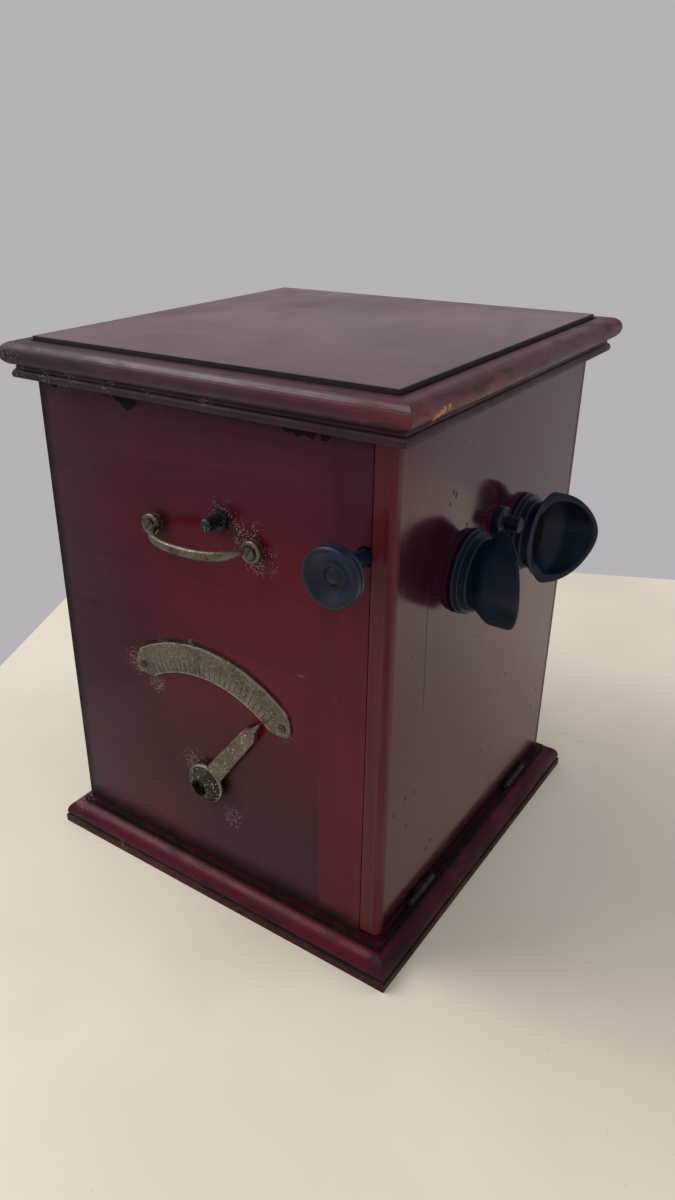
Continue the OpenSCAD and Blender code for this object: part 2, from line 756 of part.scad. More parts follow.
module lens_slide(s) {
    x = s * eye_gap / 2;
    inner = s * (eye_gap / 2 - slide_half);
    outer = s * (eye_gap / 2 + tube_r + 8);
    arm = s * 6;
    pitch_z = spacing_z - s * spacing_pitch_r;
    color("darkkhaki") translate([0, plate_back + lens_slide_t, 0]) rotate([90, 0, 0])
        linear_extrude(lens_slide_t - slip / 2) difference() {
            union() {
                translate([min(inner, outer), lens_slide_z0])
                    square([abs(outer - inner), lens_slide_z1 - lens_slide_z0]);
                translate([min(inner, inner + s * 6), lens_slide_z0 + 10])
                    square([6, (s < 0 ? spacing_z + spacing_pitch_r + 4 : pitch_z) - lens_slide_z0 - 10]);
                translate([0, pitch_z]) mirror([0, s < 0 ? 1 : 0])
                    rack_2d(module_s, small_add, min(-arm, inner), max(-arm, inner), 4);
            }
            translate([x, eye_z]) circle(tube_r);
        }
}

module eye_tube(s) {
    color("dimgray") turned_out(s * eye_gap / 2, eye_z, plate_back + lens_slide_t) difference() {
        translate([tube_r - tube_t, 0]) square([tube_t, plate_back + lens_slide_t - cup_y]);
    }
}

module flange(s) {
    color("black") turned_out(s * eye_gap / 2, eye_z, y_front - stand)
        polygon(concat([[tube_r, 0], [flange_r, 0]],
            arc(flange_r - 0.8, 1.6, 0.8, 0, 90, 4),
            [[flange_r - 1, 2.6]],
            arc(flange_r - 1.8, flange_t - 1, 1, 0, 90, 4),
            [[neck_r, flange_t], [neck_r, flange_t + neck_t - 1],
                [neck_r - 1, flange_t + neck_t], [tube_r, flange_t + neck_t]]));
}

module eye_lens(s) {
    r = tube_r - tube_t;
    curve = 30;
    rise = curve - sqrt(curve * curve - r * r);
    color("lightcyan") turned_out(s * eye_gap / 2, eye_z, y_front - 2) intersection() {
        translate([0, rise + 1 - curve]) circle(curve, $fn = 144);
        translate([0, curve - rise - 1]) circle(curve, $fn = 144);
        translate([0, -rise - 2]) square([r, 2 * rise + 4]);
    }
}

// Egg-shaped outline of the eyecup's mouth, drawn for the right eye and narrower to the temple
module mouth_2d(inset) {
    polygon([for (i = [0 : 71]) let (c = cos(i * 5), s = sin(i * 5),
        reach = (c > 0 ? mouth_temple : mouth_nasal) - inset, narrow = c > 0 ? 1 - 0.33 * c * c : 1)
        [mouth_x + reach * c, (mouth_b - inset) * s * narrow]]);
}

// Outline of all that lies in front of the rim: x runs to the temple, y outwards
module rim_cut_2d() {
    x0 = mouth_x - mouth_nasal;
    x1 = mouth_x + mouth_temple;
    polygon(concat([[x0 - 20, mouth_low]],
        [for (i = [0 : 24]) let (u = i / 24, w = max(0, (u - 0.3) / 0.7))
            [x0 + (x1 - x0) * u,
                mouth_low + 3 * u + (mouth_high - mouth_low - 3) * w * (1.45 - 0.45 * w)]],
        [[x1 + 20, mouth_high + 6], [x1 + 20, 80], [x0 - 20, 80]]));
}

module eyecup(s) {
    color("black") translate([s * eye_gap / 2, cup_y, eye_z]) rotate([90, 0, 0])
        mirror([s < 0 ? 1 : 0, 0, 0]) difference() {
            hull() {
                cylinder(h = 1, r = cup_base_r, $fn = 60);
                translate([0, 0, mouth_flare]) linear_extrude(30) mouth_2d(0);
            }
            hull() {
                translate([0, 0, -0.01]) cylinder(h = 0.1, r = tube_r - tube_t, $fn = 60);
                translate([0, 0, mouth_flare + 1.5]) linear_extrude(40) mouth_2d(cup_t);
            }
            translate([0, 60, 0]) rotate([90, 0, 0]) linear_extrude(120) rim_cut_2d();
        }
}

// Pointer and slide tray ----------------------------------------------------

// Section of the boss: x is the radius, y the distance out from the wall
module boss_2d() {
    polygon([[0, 0.9], [7, 0.9], [7, pointer_rim - 0.8], [pointer_rim_r, pointer_rim - 0.8],
        [pointer_rim_r, pointer_rim + 0.4], [7, pointer_boss - 0.5], [6.4, pointer_boss],
        [0, pointer_boss]]);
}

module pointer_arm() {
    shoulder = pointer_len - 13.2;
    tip = [[4.5, shoulder], [4.1, shoulder + 1.1], [3.3, shoulder + 2.4], [2.4, shoulder + 4],
        [1.6, shoulder + 6.2], [1, shoulder + 8.8], [0.5, shoulder + 12]];
    color("silver") translate([-x_out, pointer_y, pointer_z]) rotate([pointer_rest, 0, 0]) difference() {
        union() {
            rotate([0, -90, 0]) rotate_extrude() boss_2d();
            along_x(-arm_h0 - arm_t, -arm_h0)
                polygon(concat([[-5.9, 0], [5.9, 0]], tip, [[0, pointer_len]],
                    [for (i = [len(tip) - 1 : -1 : 0]) [-tip[i][0], tip[i][1]]]));
        }
        rod_x(-5, 0, 0, 0, shaft_r);
        rod_x(-pointer_boss - 1, -5, 0, 0, 5.2);
    }
}

module pointer_shaft() {
    color("gray") rod_x(-x_out - 5, web_x - slip, pointer_y, pointer_z, shaft_r);
}

module index_sector() {
    first = -13;
    last = 1;
    color("darkkhaki") translate([0, pointer_y, pointer_z]) difference() {
        union() {
            along_x(sector_x, sector_x + sector_t) difference() {
                union() {
                    rotate(90) polygon(concat([[0, 0]],
                        [for (p = teeth(module_l, sector_teeth, 0.9, -last, -first)) [p[0], p[1]]]));
                    circle(9);
                }
                for (k = [0 : 2])
                    rotate(pointer_rest + (k - 1) * 24) translate([0, sector_r * 0.64]) circle(6);
            }
        }
        rod_x(-x_in, -x_in + 20, 0, 0, shaft_r);
    }
}

module tray_carriage() {
    shoe = tray_half - 12;
    color("darkkhaki") {
        span([-tray_half, tray_y0, carriage_z0], [tray_half, tray_y1, tray_floor_z]);
        for (s = [-1, 1]) for (y = [tray_y0 + 4, tray_y1 - 24])
            span([s * (shoe + 5.2) - 2, y, deck_z1 + 1.5], [s * (shoe + 5.2) + 2, y + 20, carriage_z0 + 0.01]);
    }
}

module index_rack() {
    y0 = pointer_y - rack_y0 - 7;
    y1 = pointer_y + 7;
    top = index_rack_z + 7;
    color("darkkhaki") {
        translate([0, pointer_y, index_rack_z]) along_x(sector_x, web_x + web_t)
            mirror([0, 1]) rack_2d(module_l, 0.9, y0 - pointer_y, y1 - pointer_y, 7);
        span([web_x, y0, carriage_z0], [web_x + web_t, min(y1, tray_y1), index_rack_z - 1.8]);
        span([web_x + web_t - 0.01, y0, carriage_z0],
            [-tray_half, min(y1, tray_y1), carriage_z0 + 3]);
    }
}

module slide_tray() {
    color("saddlebrown") difference() {
        span([-tray_half, tray_y0, tray_floor_z], [tray_half, tray_y1, slide_z + 26]);
        span([-tray_half + 11, tray_y0 + tray_wall, slide_z - 2],
            [tray_half - 11, tray_y1 - tray_wall, slide_z + 27]);
        for (k = [0 : slide_count - 1])
            translate([0, tray_y1 - tray_wall - 0.5 - slide_t / 2 - k * slide_pitch, 0])
                span([-slide_w / 2 - 0.4, -slide_t / 2 - 0.3, slide_z],
                    [slide_w / 2 + 0.4, slide_t / 2 + 0.3, slide_z + 27]);
    }
}

module glass_slides() {
    color("lightcyan") for (k = [0 : slide_count - 1])
        translate([0, tray_y1 - tray_wall - 0.5 - slide_t / 2 - k * slide_pitch, 0])
            span([-slide_w / 2, -slide_t / 2, slide_z], [slide_w / 2, slide_t / 2, slide_z + slide_h]);
}

// Lift ----------------------------------------------------------------------

module hold_pin() {
    out = 13;
    color("dimgray") translate([-x_out, hold_y, hold_z]) rotate([0, -90, 0]) rotate_extrude()
        polygon(concat([[0, -wall_t], [hold_r, -wall_t], [hold_r, out - 1.8]],
            arc(hold_r - 1.6, out - 1.6, 1.6, 0, 90, 6), [[0, out]]));
}

// Children in a frame whose +Y runs along the resting lever
module lever_frame(x) {
    translate([x, lift_y, lift_z]) rotate([180 + lever_rest, 0, 0]) children();
}

module lift_lever() {
    color("silver") difference() {
        union() {
            rod_x(x_out + 0.9, lever_x + 4, lift_y, lift_z, 9);
            lever_frame(lever_x) along_x(0, 4) {
                polygon([[0, -6], [lever_len, -4.5], [lever_len, 4.5], [0, 6]]);
                translate([lever_len, 0]) circle(4.5);
            }
        }
        rod_x(x_out, lever_x + 3, lift_y, lift_z, shaft_r);
        lever_frame(lever_x) rod_x(-1, 5, lever_len, 0, 2);
    }
}

module lift_knob() {
    color("black") lever_frame(lever_x + 4) translate([0, lever_len, 0]) rotate([0, 90, 0]) {
        rotate_extrude() polygon(concat([[0, -4], [2, -4], [2, 0], [5, 0], [4.4, 5]],
            arc(0, 13, 8, -52, 90, 12)));
    }
}

module lift_shaft() {
    color("gray") rod_x(lift_rack_x - 1, lever_x + 3, lift_y, lift_z, shaft_r);
}

module lift_gear() {
    color("darkkhaki") translate([lift_rack_x, lift_y, lift_z]) rotate([0, 90, 0]) rotate([0, 0, -90])
        difference() {
            linear_extrude(lift_rack_w) difference() {
                polygon(teeth(module_l, lift_teeth, 0.9, 0, lift_teeth - 1));
                for (k = [0 : 4]) rotate(k * 72) translate([lift_r * 0.56, 0]) circle(lift_r * 0.22);
            }
            translate([0, 0, -1]) cylinder(h = lift_rack_w + 2, r = shaft_r);
        }
}

module lifter_block() {
    color("darkkhaki") {
        difference() {
            span([block_x, view_y - block_half, block_z0], [x_in - 1, view_y + block_half, block_z1]);
            translate([0, 0, block_z0 - 1]) linear_extrude(block_z1 - block_z0 + 2) rail_2d(slip);
        }
        span([arm_x, view_y - arm_half, arm_z], [block_x + 0.01, view_y + arm_half, arm_z + arm_thick]);
    }
}

module lift_rack() {
    y0 = view_y + block_half;
    high = body_h - 2 - lift_travel;
    color("darkkhaki") translate([0, y0 + lift_rack_t + 1.25 * module_l, lift_z])
        along_x(lift_rack_x, lift_rack_x + lift_rack_w) rotate(-90)
            rack_2d(module_l, 0.9, lift_z - high, lift_z - lift_low, lift_rack_t + 1.25 * module_l);
}

module lift_magnets() {
    color("firebrick") for (s = [-1, 1])
        span([s * slide_w / 4 - 12, view_y - 4, arm_z - magnet_h],
            [s * slide_w / 4 + 12, view_y + 4, arm_z]);
}

base_board();
plinth_mouldings();
left_panel();
left_stile();
right_panel();
right_stile();
back_frame();
ground_glass();
glass_beads();
top_board();
cornice_mouldings();
hinge_base_leaves();
hinge_pins();
scale_plate();
bow_handle();
wall_screws();
wall_bushes();
deck_board();
deck_battens();
tray_runners();
lift_rail();
septum();
front_door();
hinge_door_leaves();
focus_bearings();
guide_rods();
focus_shaft();
focus_knob();
focus_pinions();
focus_plate();
focus_racks();
slide_gibs();
spacing_knob();
spacing_spindle();
lens_slide(-1);  // left_lens_slide
eye_tube(-1);  // left_tube
flange(-1);  // left_flange
eye_lens(-1);  // left_lens
eyecup(-1);  // left_eyecup
lens_slide(1);  // right_lens_slide
eye_tube(1);  // right_tube
flange(1);  // right_flange
eye_lens(1);  // right_lens
eyecup(1);  // right_eyecup
pointer_arm();
pointer_shaft();
index_sector();
tray_carriage();
index_rack();
slide_tray();
glass_slides();
hold_pin();
lift_lever();
lift_knob();
lift_shaft();
lift_gear();
lifter_block();
lift_rack();
lift_magnets();
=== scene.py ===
import bpy
import bmesh
import math
from mathutils import Matrix, Vector


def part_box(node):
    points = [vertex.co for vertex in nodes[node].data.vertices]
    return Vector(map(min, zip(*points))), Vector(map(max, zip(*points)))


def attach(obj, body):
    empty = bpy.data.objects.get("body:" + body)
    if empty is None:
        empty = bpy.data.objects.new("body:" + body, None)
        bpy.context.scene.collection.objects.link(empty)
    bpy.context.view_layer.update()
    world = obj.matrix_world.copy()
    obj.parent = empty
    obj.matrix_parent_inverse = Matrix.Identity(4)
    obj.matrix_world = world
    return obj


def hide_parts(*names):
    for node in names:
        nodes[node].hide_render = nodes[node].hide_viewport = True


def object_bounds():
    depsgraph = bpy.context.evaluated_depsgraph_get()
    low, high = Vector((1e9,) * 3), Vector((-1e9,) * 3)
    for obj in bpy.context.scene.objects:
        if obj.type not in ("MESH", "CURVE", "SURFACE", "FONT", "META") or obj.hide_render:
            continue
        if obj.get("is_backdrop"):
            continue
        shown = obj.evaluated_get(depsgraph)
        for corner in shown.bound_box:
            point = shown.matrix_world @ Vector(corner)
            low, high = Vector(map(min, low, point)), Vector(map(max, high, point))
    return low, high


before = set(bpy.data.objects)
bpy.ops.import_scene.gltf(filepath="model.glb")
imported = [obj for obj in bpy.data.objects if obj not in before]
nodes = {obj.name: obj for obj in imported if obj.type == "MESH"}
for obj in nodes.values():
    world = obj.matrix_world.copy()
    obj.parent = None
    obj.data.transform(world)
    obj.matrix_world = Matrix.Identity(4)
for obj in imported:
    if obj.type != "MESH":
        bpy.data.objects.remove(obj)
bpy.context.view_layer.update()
print("cabinet loaded:", len(nodes), "parts")

mm = 0.001


def tone(red, green, blue):  # a screen colour, 0 to 255, as the linear colour that shaders take
    def linear(c):
        c = c / 255
        return c / 12.92 if c <= 0.04045 else ((c + 0.055) / 1.055) ** 2.4
    return (linear(red), linear(green), linear(blue), 1)


# shader maths: a Wire is a socket that can stand in a sum, a Finish is one material

class Wire:
    def __init__(self, finish, socket):
        self.finish, self.socket = finish, socket

    def math(self, operation, *terms):
        return self.finish.add("ShaderNodeMath", {"operation": operation}, dict(enumerate(terms)))

    def __add__(self, other):
        return self.math("ADD", self, other)

    def __radd__(self, other):
        return self.math("ADD", other, self)

    def __sub__(self, other):
        return self.math("SUBTRACT", self, other)

    def __rsub__(self, other):
        return self.math("SUBTRACT", other, self)

    def __mul__(self, other):
        return self.math("MULTIPLY", self, other)

    def __rmul__(self, other):
        return self.math("MULTIPLY", other, self)

    def __pow__(self, power):
        return self.math("POWER", self, power)

    def __abs__(self):
        return self.math("ABSOLUTE", self)

    def most(self, other):
        return self.math("MAXIMUM", self, other)

    def least(self, other):
        return self.math("MINIMUM", self, other)


class Finish:
    def __init__(self, name):
        self.material = bpy.data.materials.new(name)
        self.material.use_nodes = True
        self.tree = self.material.node_tree
        self.tree.nodes.clear()
        self.home = self.place = self.add("ShaderNodeTexCoord", out="Object")
        self.x, self.y, self.z = [
            axis * 1000 for axis in
            self.add("ShaderNodeSeparateXYZ", feed={0: self.place}, out=(0, 1, 2))]  # in mm

    def add(self, kind, settings=None, feed=None, out=0):
        node = self.tree.nodes.new(kind)
        for name, value in (settings or {}).items():
            setattr(node, name, value)
        for name, value in (feed or {}).items():
            if isinstance(value, Wire):
                self.tree.links.new(value.socket, node.inputs[name])
            else:
                node.inputs[name].default_value = value
        if isinstance(out, tuple):
            return [Wire(self, node.outputs[name]) for name in out]
        return Wire(self, node.outputs[out])

    def stretched(self, scale, shift=(0, 0, 0), turn=(0, 0, 0)):
        return self.add("ShaderNodeMapping", {}, {
            "Vector": self.place, "Scale": scale, "Location": shift, "Rotation": turn})

    def noise(self, scale, detail=3, rough=0.55, bend=0, shift=(0, 0, 0)):
        # scale is in waves a metre, one number or one for each axis
        if not isinstance(scale, tuple):
            scale = (scale,) * 3
        return self.add("ShaderNodeTexNoise", {}, {
            "Vector": self.stretched(scale, shift), "Scale": 1, "Detail": detail,
            "Roughness": rough, "Distortion": bend})

    def cells(self, scale, shift=(0, 0, 0), turn=(0, 0, 0)):
        # distance to the nearest of scattered points
        if not isinstance(scale, tuple):
            scale = (scale,) * 3
        return self.add("ShaderNodeTexVoronoi", {}, {
            "Vector": self.stretched(scale, shift, turn), "Scale": 1}, out="Distance")

    def dots(self, scale, density, size, shift=(0, 0, 0)):  # at most one dot in each cell
        wobble = (self.noise(scale * 3, 2, 0.6) - 0.5) * 0.35
        far, tint = self.add("ShaderNodeTexVoronoi", {}, {
            "Vector": self.stretched((scale,) * 3, shift), "Scale": 1}, out=("Distance", "Color"))
        chance = self.add("ShaderNodeSeparateColor", {}, {"Color": tint}, out="Red")
        return self.rise(far + wobble, size * 0.6, size, 1, 0) * self.rise(
            chance - density, -0.02, 0, 1, 0)

    def rise(self, value, low, high, start=0.0, end=1.0):  # smooth step from start to end
        return self.add("ShaderNodeMapRange", {"interpolation_type": "SMOOTHSTEP"}, {
            "Value": value, "From Min": low, "From Max": high, "To Min": start, "To Max": end})

    def mix(self, mask, first, second):
        return self.add("ShaderNodeMix", {"data_type": "RGBA"}, {
            0: mask, 6: first, 7: second}, out=2)

    def near(self, point, reach):  # 1 at a point given in mm, 0 at reach mm from it
        far = self.add("ShaderNodeVectorMath", {"operation": "DISTANCE"}, {
            0: self.home, 1: tuple(c * mm for c in point)}, out="Value")
        return self.rise(far, 0, reach * mm, 1, 0)

    def nearAny(self, points):
        mask = self.near(*points[0])
        for point in points[1:]:
            mask = mask.most(self.near(*point))
        return mask

    def bump(self, height, depth=1.0):  # depth in mm for a height of 1
        return self.add("ShaderNodeBump", {}, {
            "Height": height, "Strength": 1.0, "Distance": depth * mm})

    def shade(self, **surface):
        names = {"colour": "Base Color", "rough": "Roughness", "metal": "Metallic",
                 "normal": "Normal", "index": "IOR", "clear": "Transmission Weight",
                 "specular": "Specular IOR Level", "tint": "Specular Tint"}
        return self.add("ShaderNodeBsdfPrincipled", {}, {
            names[name]: value for name, value in surface.items()})

    def done(self, shader=None, **surface):
        self.add("ShaderNodeOutputMaterial", {}, {
            "Surface": shader or self.shade(**surface)}, out=())
        return self.material


# the cabinet's faces and levels, and where the fittings sit on the left wall, in mm

def middleOf(name):
    low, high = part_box(name)
    return (low + high) / 2 / mm


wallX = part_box("left_panel")[0].x / mm
sideFace, doorFront = 113, -111
plinthTop, corniceFoot = 20, 299
pivotY, pivotZ = middleOf("pointer_shaft").yz
pegY, pegZ = middleOf("hold_pin").yz
scaleLow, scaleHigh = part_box("scale_plate")
scaleY, scaleHalf = middleOf("scale_plate").y, (scaleHigh.y - scaleLow.y) / 2 / mm
scaleInner, scaleOuter, bossRadius = 69, 87, 12
bowLow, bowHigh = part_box("bow_handle")
footRadius = 6
frontFoot, backFoot = bowLow.y / mm + footRadius, bowHigh.y / mm - footRadius
footZ = bowHigh.z / mm - footRadius


# wood, polished with crimson stain

wood = {
    "deep": tone(54, 13, 28),
    "middle": tone(76, 14, 32),
    "bright": tone(98, 15, 32),
    # plum grey: a painted reflection of the pale room
    "paintedSheen": tone(66, 38, 60),
    "worn": tone(112, 44, 38),
    # near black: grain, dirt, and painted shade in grooves and corners
    "grimeAndShade": tone(15, 9, 13),
    "bare": tone(164, 122, 80),
    "chip": tone(20, 14, 17),
    "scratch": tone(150, 110, 104),
    "residue": tone(170, 156, 150),
}


def grainScale(along, fine, coarse):  # stretched along the grain
    return tuple(coarse if axis == along else fine for axis in "xyz")


def turnAtMitres(f):  # a moulding runs round the cabinet, and its grain turns at each mitre
    sideways = f.add("ShaderNodeVectorRotate", {"rotation_type": "Z_AXIS"}, {
        "Vector": f.place, "Angle": math.pi / 2})
    side = f.rise((abs(f.x) - sideFace) - (abs(f.y) + doorFront), -0.05, 0.05)
    f.place = f.add("ShaderNodeMix", {"data_type": "VECTOR"}, {
        0: side, 4: f.place, 5: sideways}, out=1)


def dirtiedAndShaded(f, colour, grimeAndShade):  # dirt left where a cloth can't reach, and painted shade in grooves, in corners and under overhangs
    dull = 0
    for place in grimeAndShade:
        mask = place(f) * f.rise(f.noise(90, 3, 0.6), 0.25, 0.6, 0.6, 1)
        colour = f.mix(mask, colour, wood["grimeAndShade"])
        dull = mask.most(dull)
    return colour, dull


def residue(f, colour, specks):  # dried metal polish: small dots, larger dots and short curls
    if not specks:
        return colour, 0
    close = f.nearAny(specks) * f.rise(f.noise(85, 3, 0.6, 0, (3, 1, 2)), 0.25, 0.6, 0.35, 1)
    fine = f.dots(1050, close * 0.62, 0.4)
    large = f.dots(560, close * 0.42 - 0.05, 0.26, (4, 7, 1)) * 0.8
    curl = f.rise(abs(f.noise(300, 3, 0.6, 0.6) - 0.5), 0.006, 0.022, 1, 0)
    curl = curl * f.rise(f.noise(420, 2), 0.52, 0.6) * f.rise(close, 0.2, 0.6)
    mask = fine.most(large).most(curl)
    return f.mix(mask * 0.62, colour, wood["residue"]), mask


def flaked(f, colour, chips, bare):  # chips are dark inside, bare flakes show new wood
    dent = 0
    if chips:
        edge = f.nearAny(chips) + (f.noise(260, 3, 0.6) - 0.5) * 0.9
        dent = f.rise(edge, 0.42, 0.52)
        colour = f.mix(dent, colour, wood["chip"])
    if bare:
        edge = f.nearAny(bare) + (f.noise(230, 3, 0.6, 0.5) - 0.5) * 1.3
        flake = f.rise(edge, 0.5, 0.6)
        colour = f.mix(flake, colour, wood["bare"])
        dent = flake.most(dent)
    return colour, dent


def crimson(name, along="z", wear=(), grimeAndShade=(), specks=(), chips=(), bare=(), redAndLit=None, shift=0,
            shine=0.17, rough=0.24, smudge=(16, 22, 19), paintedSheen=None, wavy=0.02):
    # wear and grime (dirt and painted shade) are functions that give masks, specks, chips and bare are
    # points with a reach
    f = Finish(name)
    move = (shift, shift * 1.7, shift * 0.6)
    if along == "ring":
        turnAtMitres(f)
        along = "x"
    figure = f.noise(grainScale(along, 42, 3), 3, 0.5, 0.8, move)
    fibre = f.noise(grainScale(along, 620, 14), 4, 0.6, 0.2, move)
    pores = f.noise(grainScale(along, 1500, 55), 2, 0.5, 0, move)
    cloud = f.noise(7, 3, 0.5, 0.4, move)
    blotch = f.noise(31, 4, 0.6, 0.3, move)
    colour = f.mix(f.rise(cloud, 0.32, 0.68), wood["deep"], wood["middle"])
    # redAndLit makes the wood redder and brighter: its own red in places, painted light in others
    if redAndLit:
        colour = f.mix(redAndLit(f), colour, wood["bright"])
    if paintedSheen:  # painted reflection: plum grey where the polish mirrors the pale room
        colour = f.mix(paintedSheen(f), colour, wood["paintedSheen"])
    colour = f.mix(f.rise(figure, 0.42, 0.66, 0, 0.3), colour, wood["deep"])
    colour = f.mix(f.rise(fibre, 0.35, 0.75, 0, 0.2), colour, wood["grimeAndShade"])
    colour = f.mix(f.rise(pores, 0.62, 0.7, 0, 0.25), colour, wood["grimeAndShade"])
    colour = f.mix(f.rise(blotch, 0.55, 0.8, 0, 0.25), colour, wood["grimeAndShade"])
    for place in wear:  # rubbed through to the orange of the wood
        mask = place(f) * f.rise(blotch + fibre * 0.3, 0.36, 0.72, 0.35, 1)
        colour = f.mix(mask, colour, wood["worn"])
    colour, dull = dirtiedAndShaded(f, colour, grimeAndShade)
    colour, dried = residue(f, colour, specks)
    colour, dent = flaked(f, colour, chips, bare)
    scratch = f.rise(f.cells((180, 9, 24), (1, 4, 2), (0.5, 0.3, 0.9)), 0.012, 0.03, 1, 0)
    scratch = scratch * f.rise(f.noise(20, 2, 0.5, 0, (5, 5, 1)), 0.5, 0.62)
    colour = f.mix(scratch * 0.35, colour, wood["scratch"])
    smear = f.rise(f.noise(smudge, 4, 0.6, 1.2, move), 0.3, 0.75, rough * 0.8, rough * 1.3)
    gloss = smear + scratch * 0.2 + dull * 0.3 + dried * 0.4 + dent * 0.5
    height = fibre * 0.010 + pores * 0.008 + f.noise(170, 2, 0.5) * wavy + cloud * 0.1
    height = height - dent * 0.5 + dried * 0.06
    return f.done(colour=colour, rough=gloss, index=1.52, normal=f.bump(height), specular=shine)


def beside(axis, edge, reach, sign):  # fades from 1 at the edge to 0 at reach mm inwards
    def mask(f):
        value = {"x": f.x, "y": f.y, "z": f.z}[axis]
        return f.rise((value - edge) * sign, 0, reach, 1, 0)
    return mask


def outward(f):  # how far a point lies outside the edge of the top board
    wide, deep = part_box("top_board")[1].x / mm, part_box("top_board")[1].y / mm
    return (abs(f.x) - wide).most(abs(f.y) - deep)


def wallRedAndLight(f):  # partly the wood's own red, partly a painted pool of light: the wall is reddest and brightest in the middle and towards the door
    across = f.rise(f.y, 95, -60, 0.15, 0.8)
    up = f.rise(abs(f.z - 190), 20, 130, 1, 0)
    return across * up * f.rise(f.noise(10, 3, 0.5, 0.6, (2, 7, 4)), 0.3, 0.6, 0.3, 0.9)


# painted reflection: plum grey sheen at the back, the bottom and the top of the wall
def wallPaintedSheen(f):
    side = f.rise(f.y, 45, 112, 0, 0.8).most(f.rise(f.z, 95, 25, 0, 0.2))
    return side.most(f.rise(f.z, 225, 290, 0, 0.4)) * f.rise(
        f.noise(14, 3, 0.55, 0.5, (6, 1, 2)), 0.25, 0.6, 0.55, 1)


wallSpecks = [
    ((wallX, frontFoot - 3, footZ - 5), 17), ((wallX, frontFoot + 3, footZ + 6), 14),
    ((wallX, backFoot, footZ), 9), ((wallX, pegY, pegZ + 3), 13),
    ((wallX, (frontFoot + pegY) / 2, (footZ + pegZ) / 2), 13), ((wallX, 54, 141), 15),
    ((wallX, 40, 131), 11), ((wallX, 32, 154), 13), ((wallX, 12, 164), 9),
    ((wallX, -22, 158), 8), ((wallX, -54, 128), 8), ((wallX, pivotY + 10, pivotZ + 7), 16),
    ((wallX, pivotY - 16, pivotZ - 20), 13), ((wallX, 90, 298), 9),
    ((wallX, 70, 299), 9), ((wallX, 50, 299), 11), ((wallX, 25, 299), 9), ((wallX, 0, 299), 8),
]


def fromPivot(f):  # distance from the pointer's pivot
    return ((f.y - pivotY) ** 2 + (f.z - pivotZ) ** 2) ** 0.5


def fittingDirtAndShade(f):  # dirt and painted shade in the corners round the scale, the boss, the feet and the peg; the dark ring just outside the scale is a painted shadow of the plate
    across = fromPivot(f)
    edge = f.rise(abs(across - scaleOuter - 1.4), 0.3, 2.6, 0.9, 0) * f.rise(
        abs(f.y - scaleY), scaleHalf - 9, scaleHalf - 2, 1, 0) * f.rise(f.z, 120, 126)
    spots = f.nearAny([((wallX, pivotY - 7, pivotZ - 3), 24), ((wallX, backFoot - 4, footZ), 14),
                       ((wallX, frontFoot - 3, footZ), 12), ((wallX, pegY - 2, pegZ), 14)])
    return edge.most(spots * 0.8)


# darker above the plinth, under the cornice and at the back edge: partly dirt, partly painted shade
wallEdgeDirtAndShade = [beside("z", plinthTop, 16, 1), beside("z", corniceFoot, 9, -1),
             beside("y", -doorFront, 9, -1)]

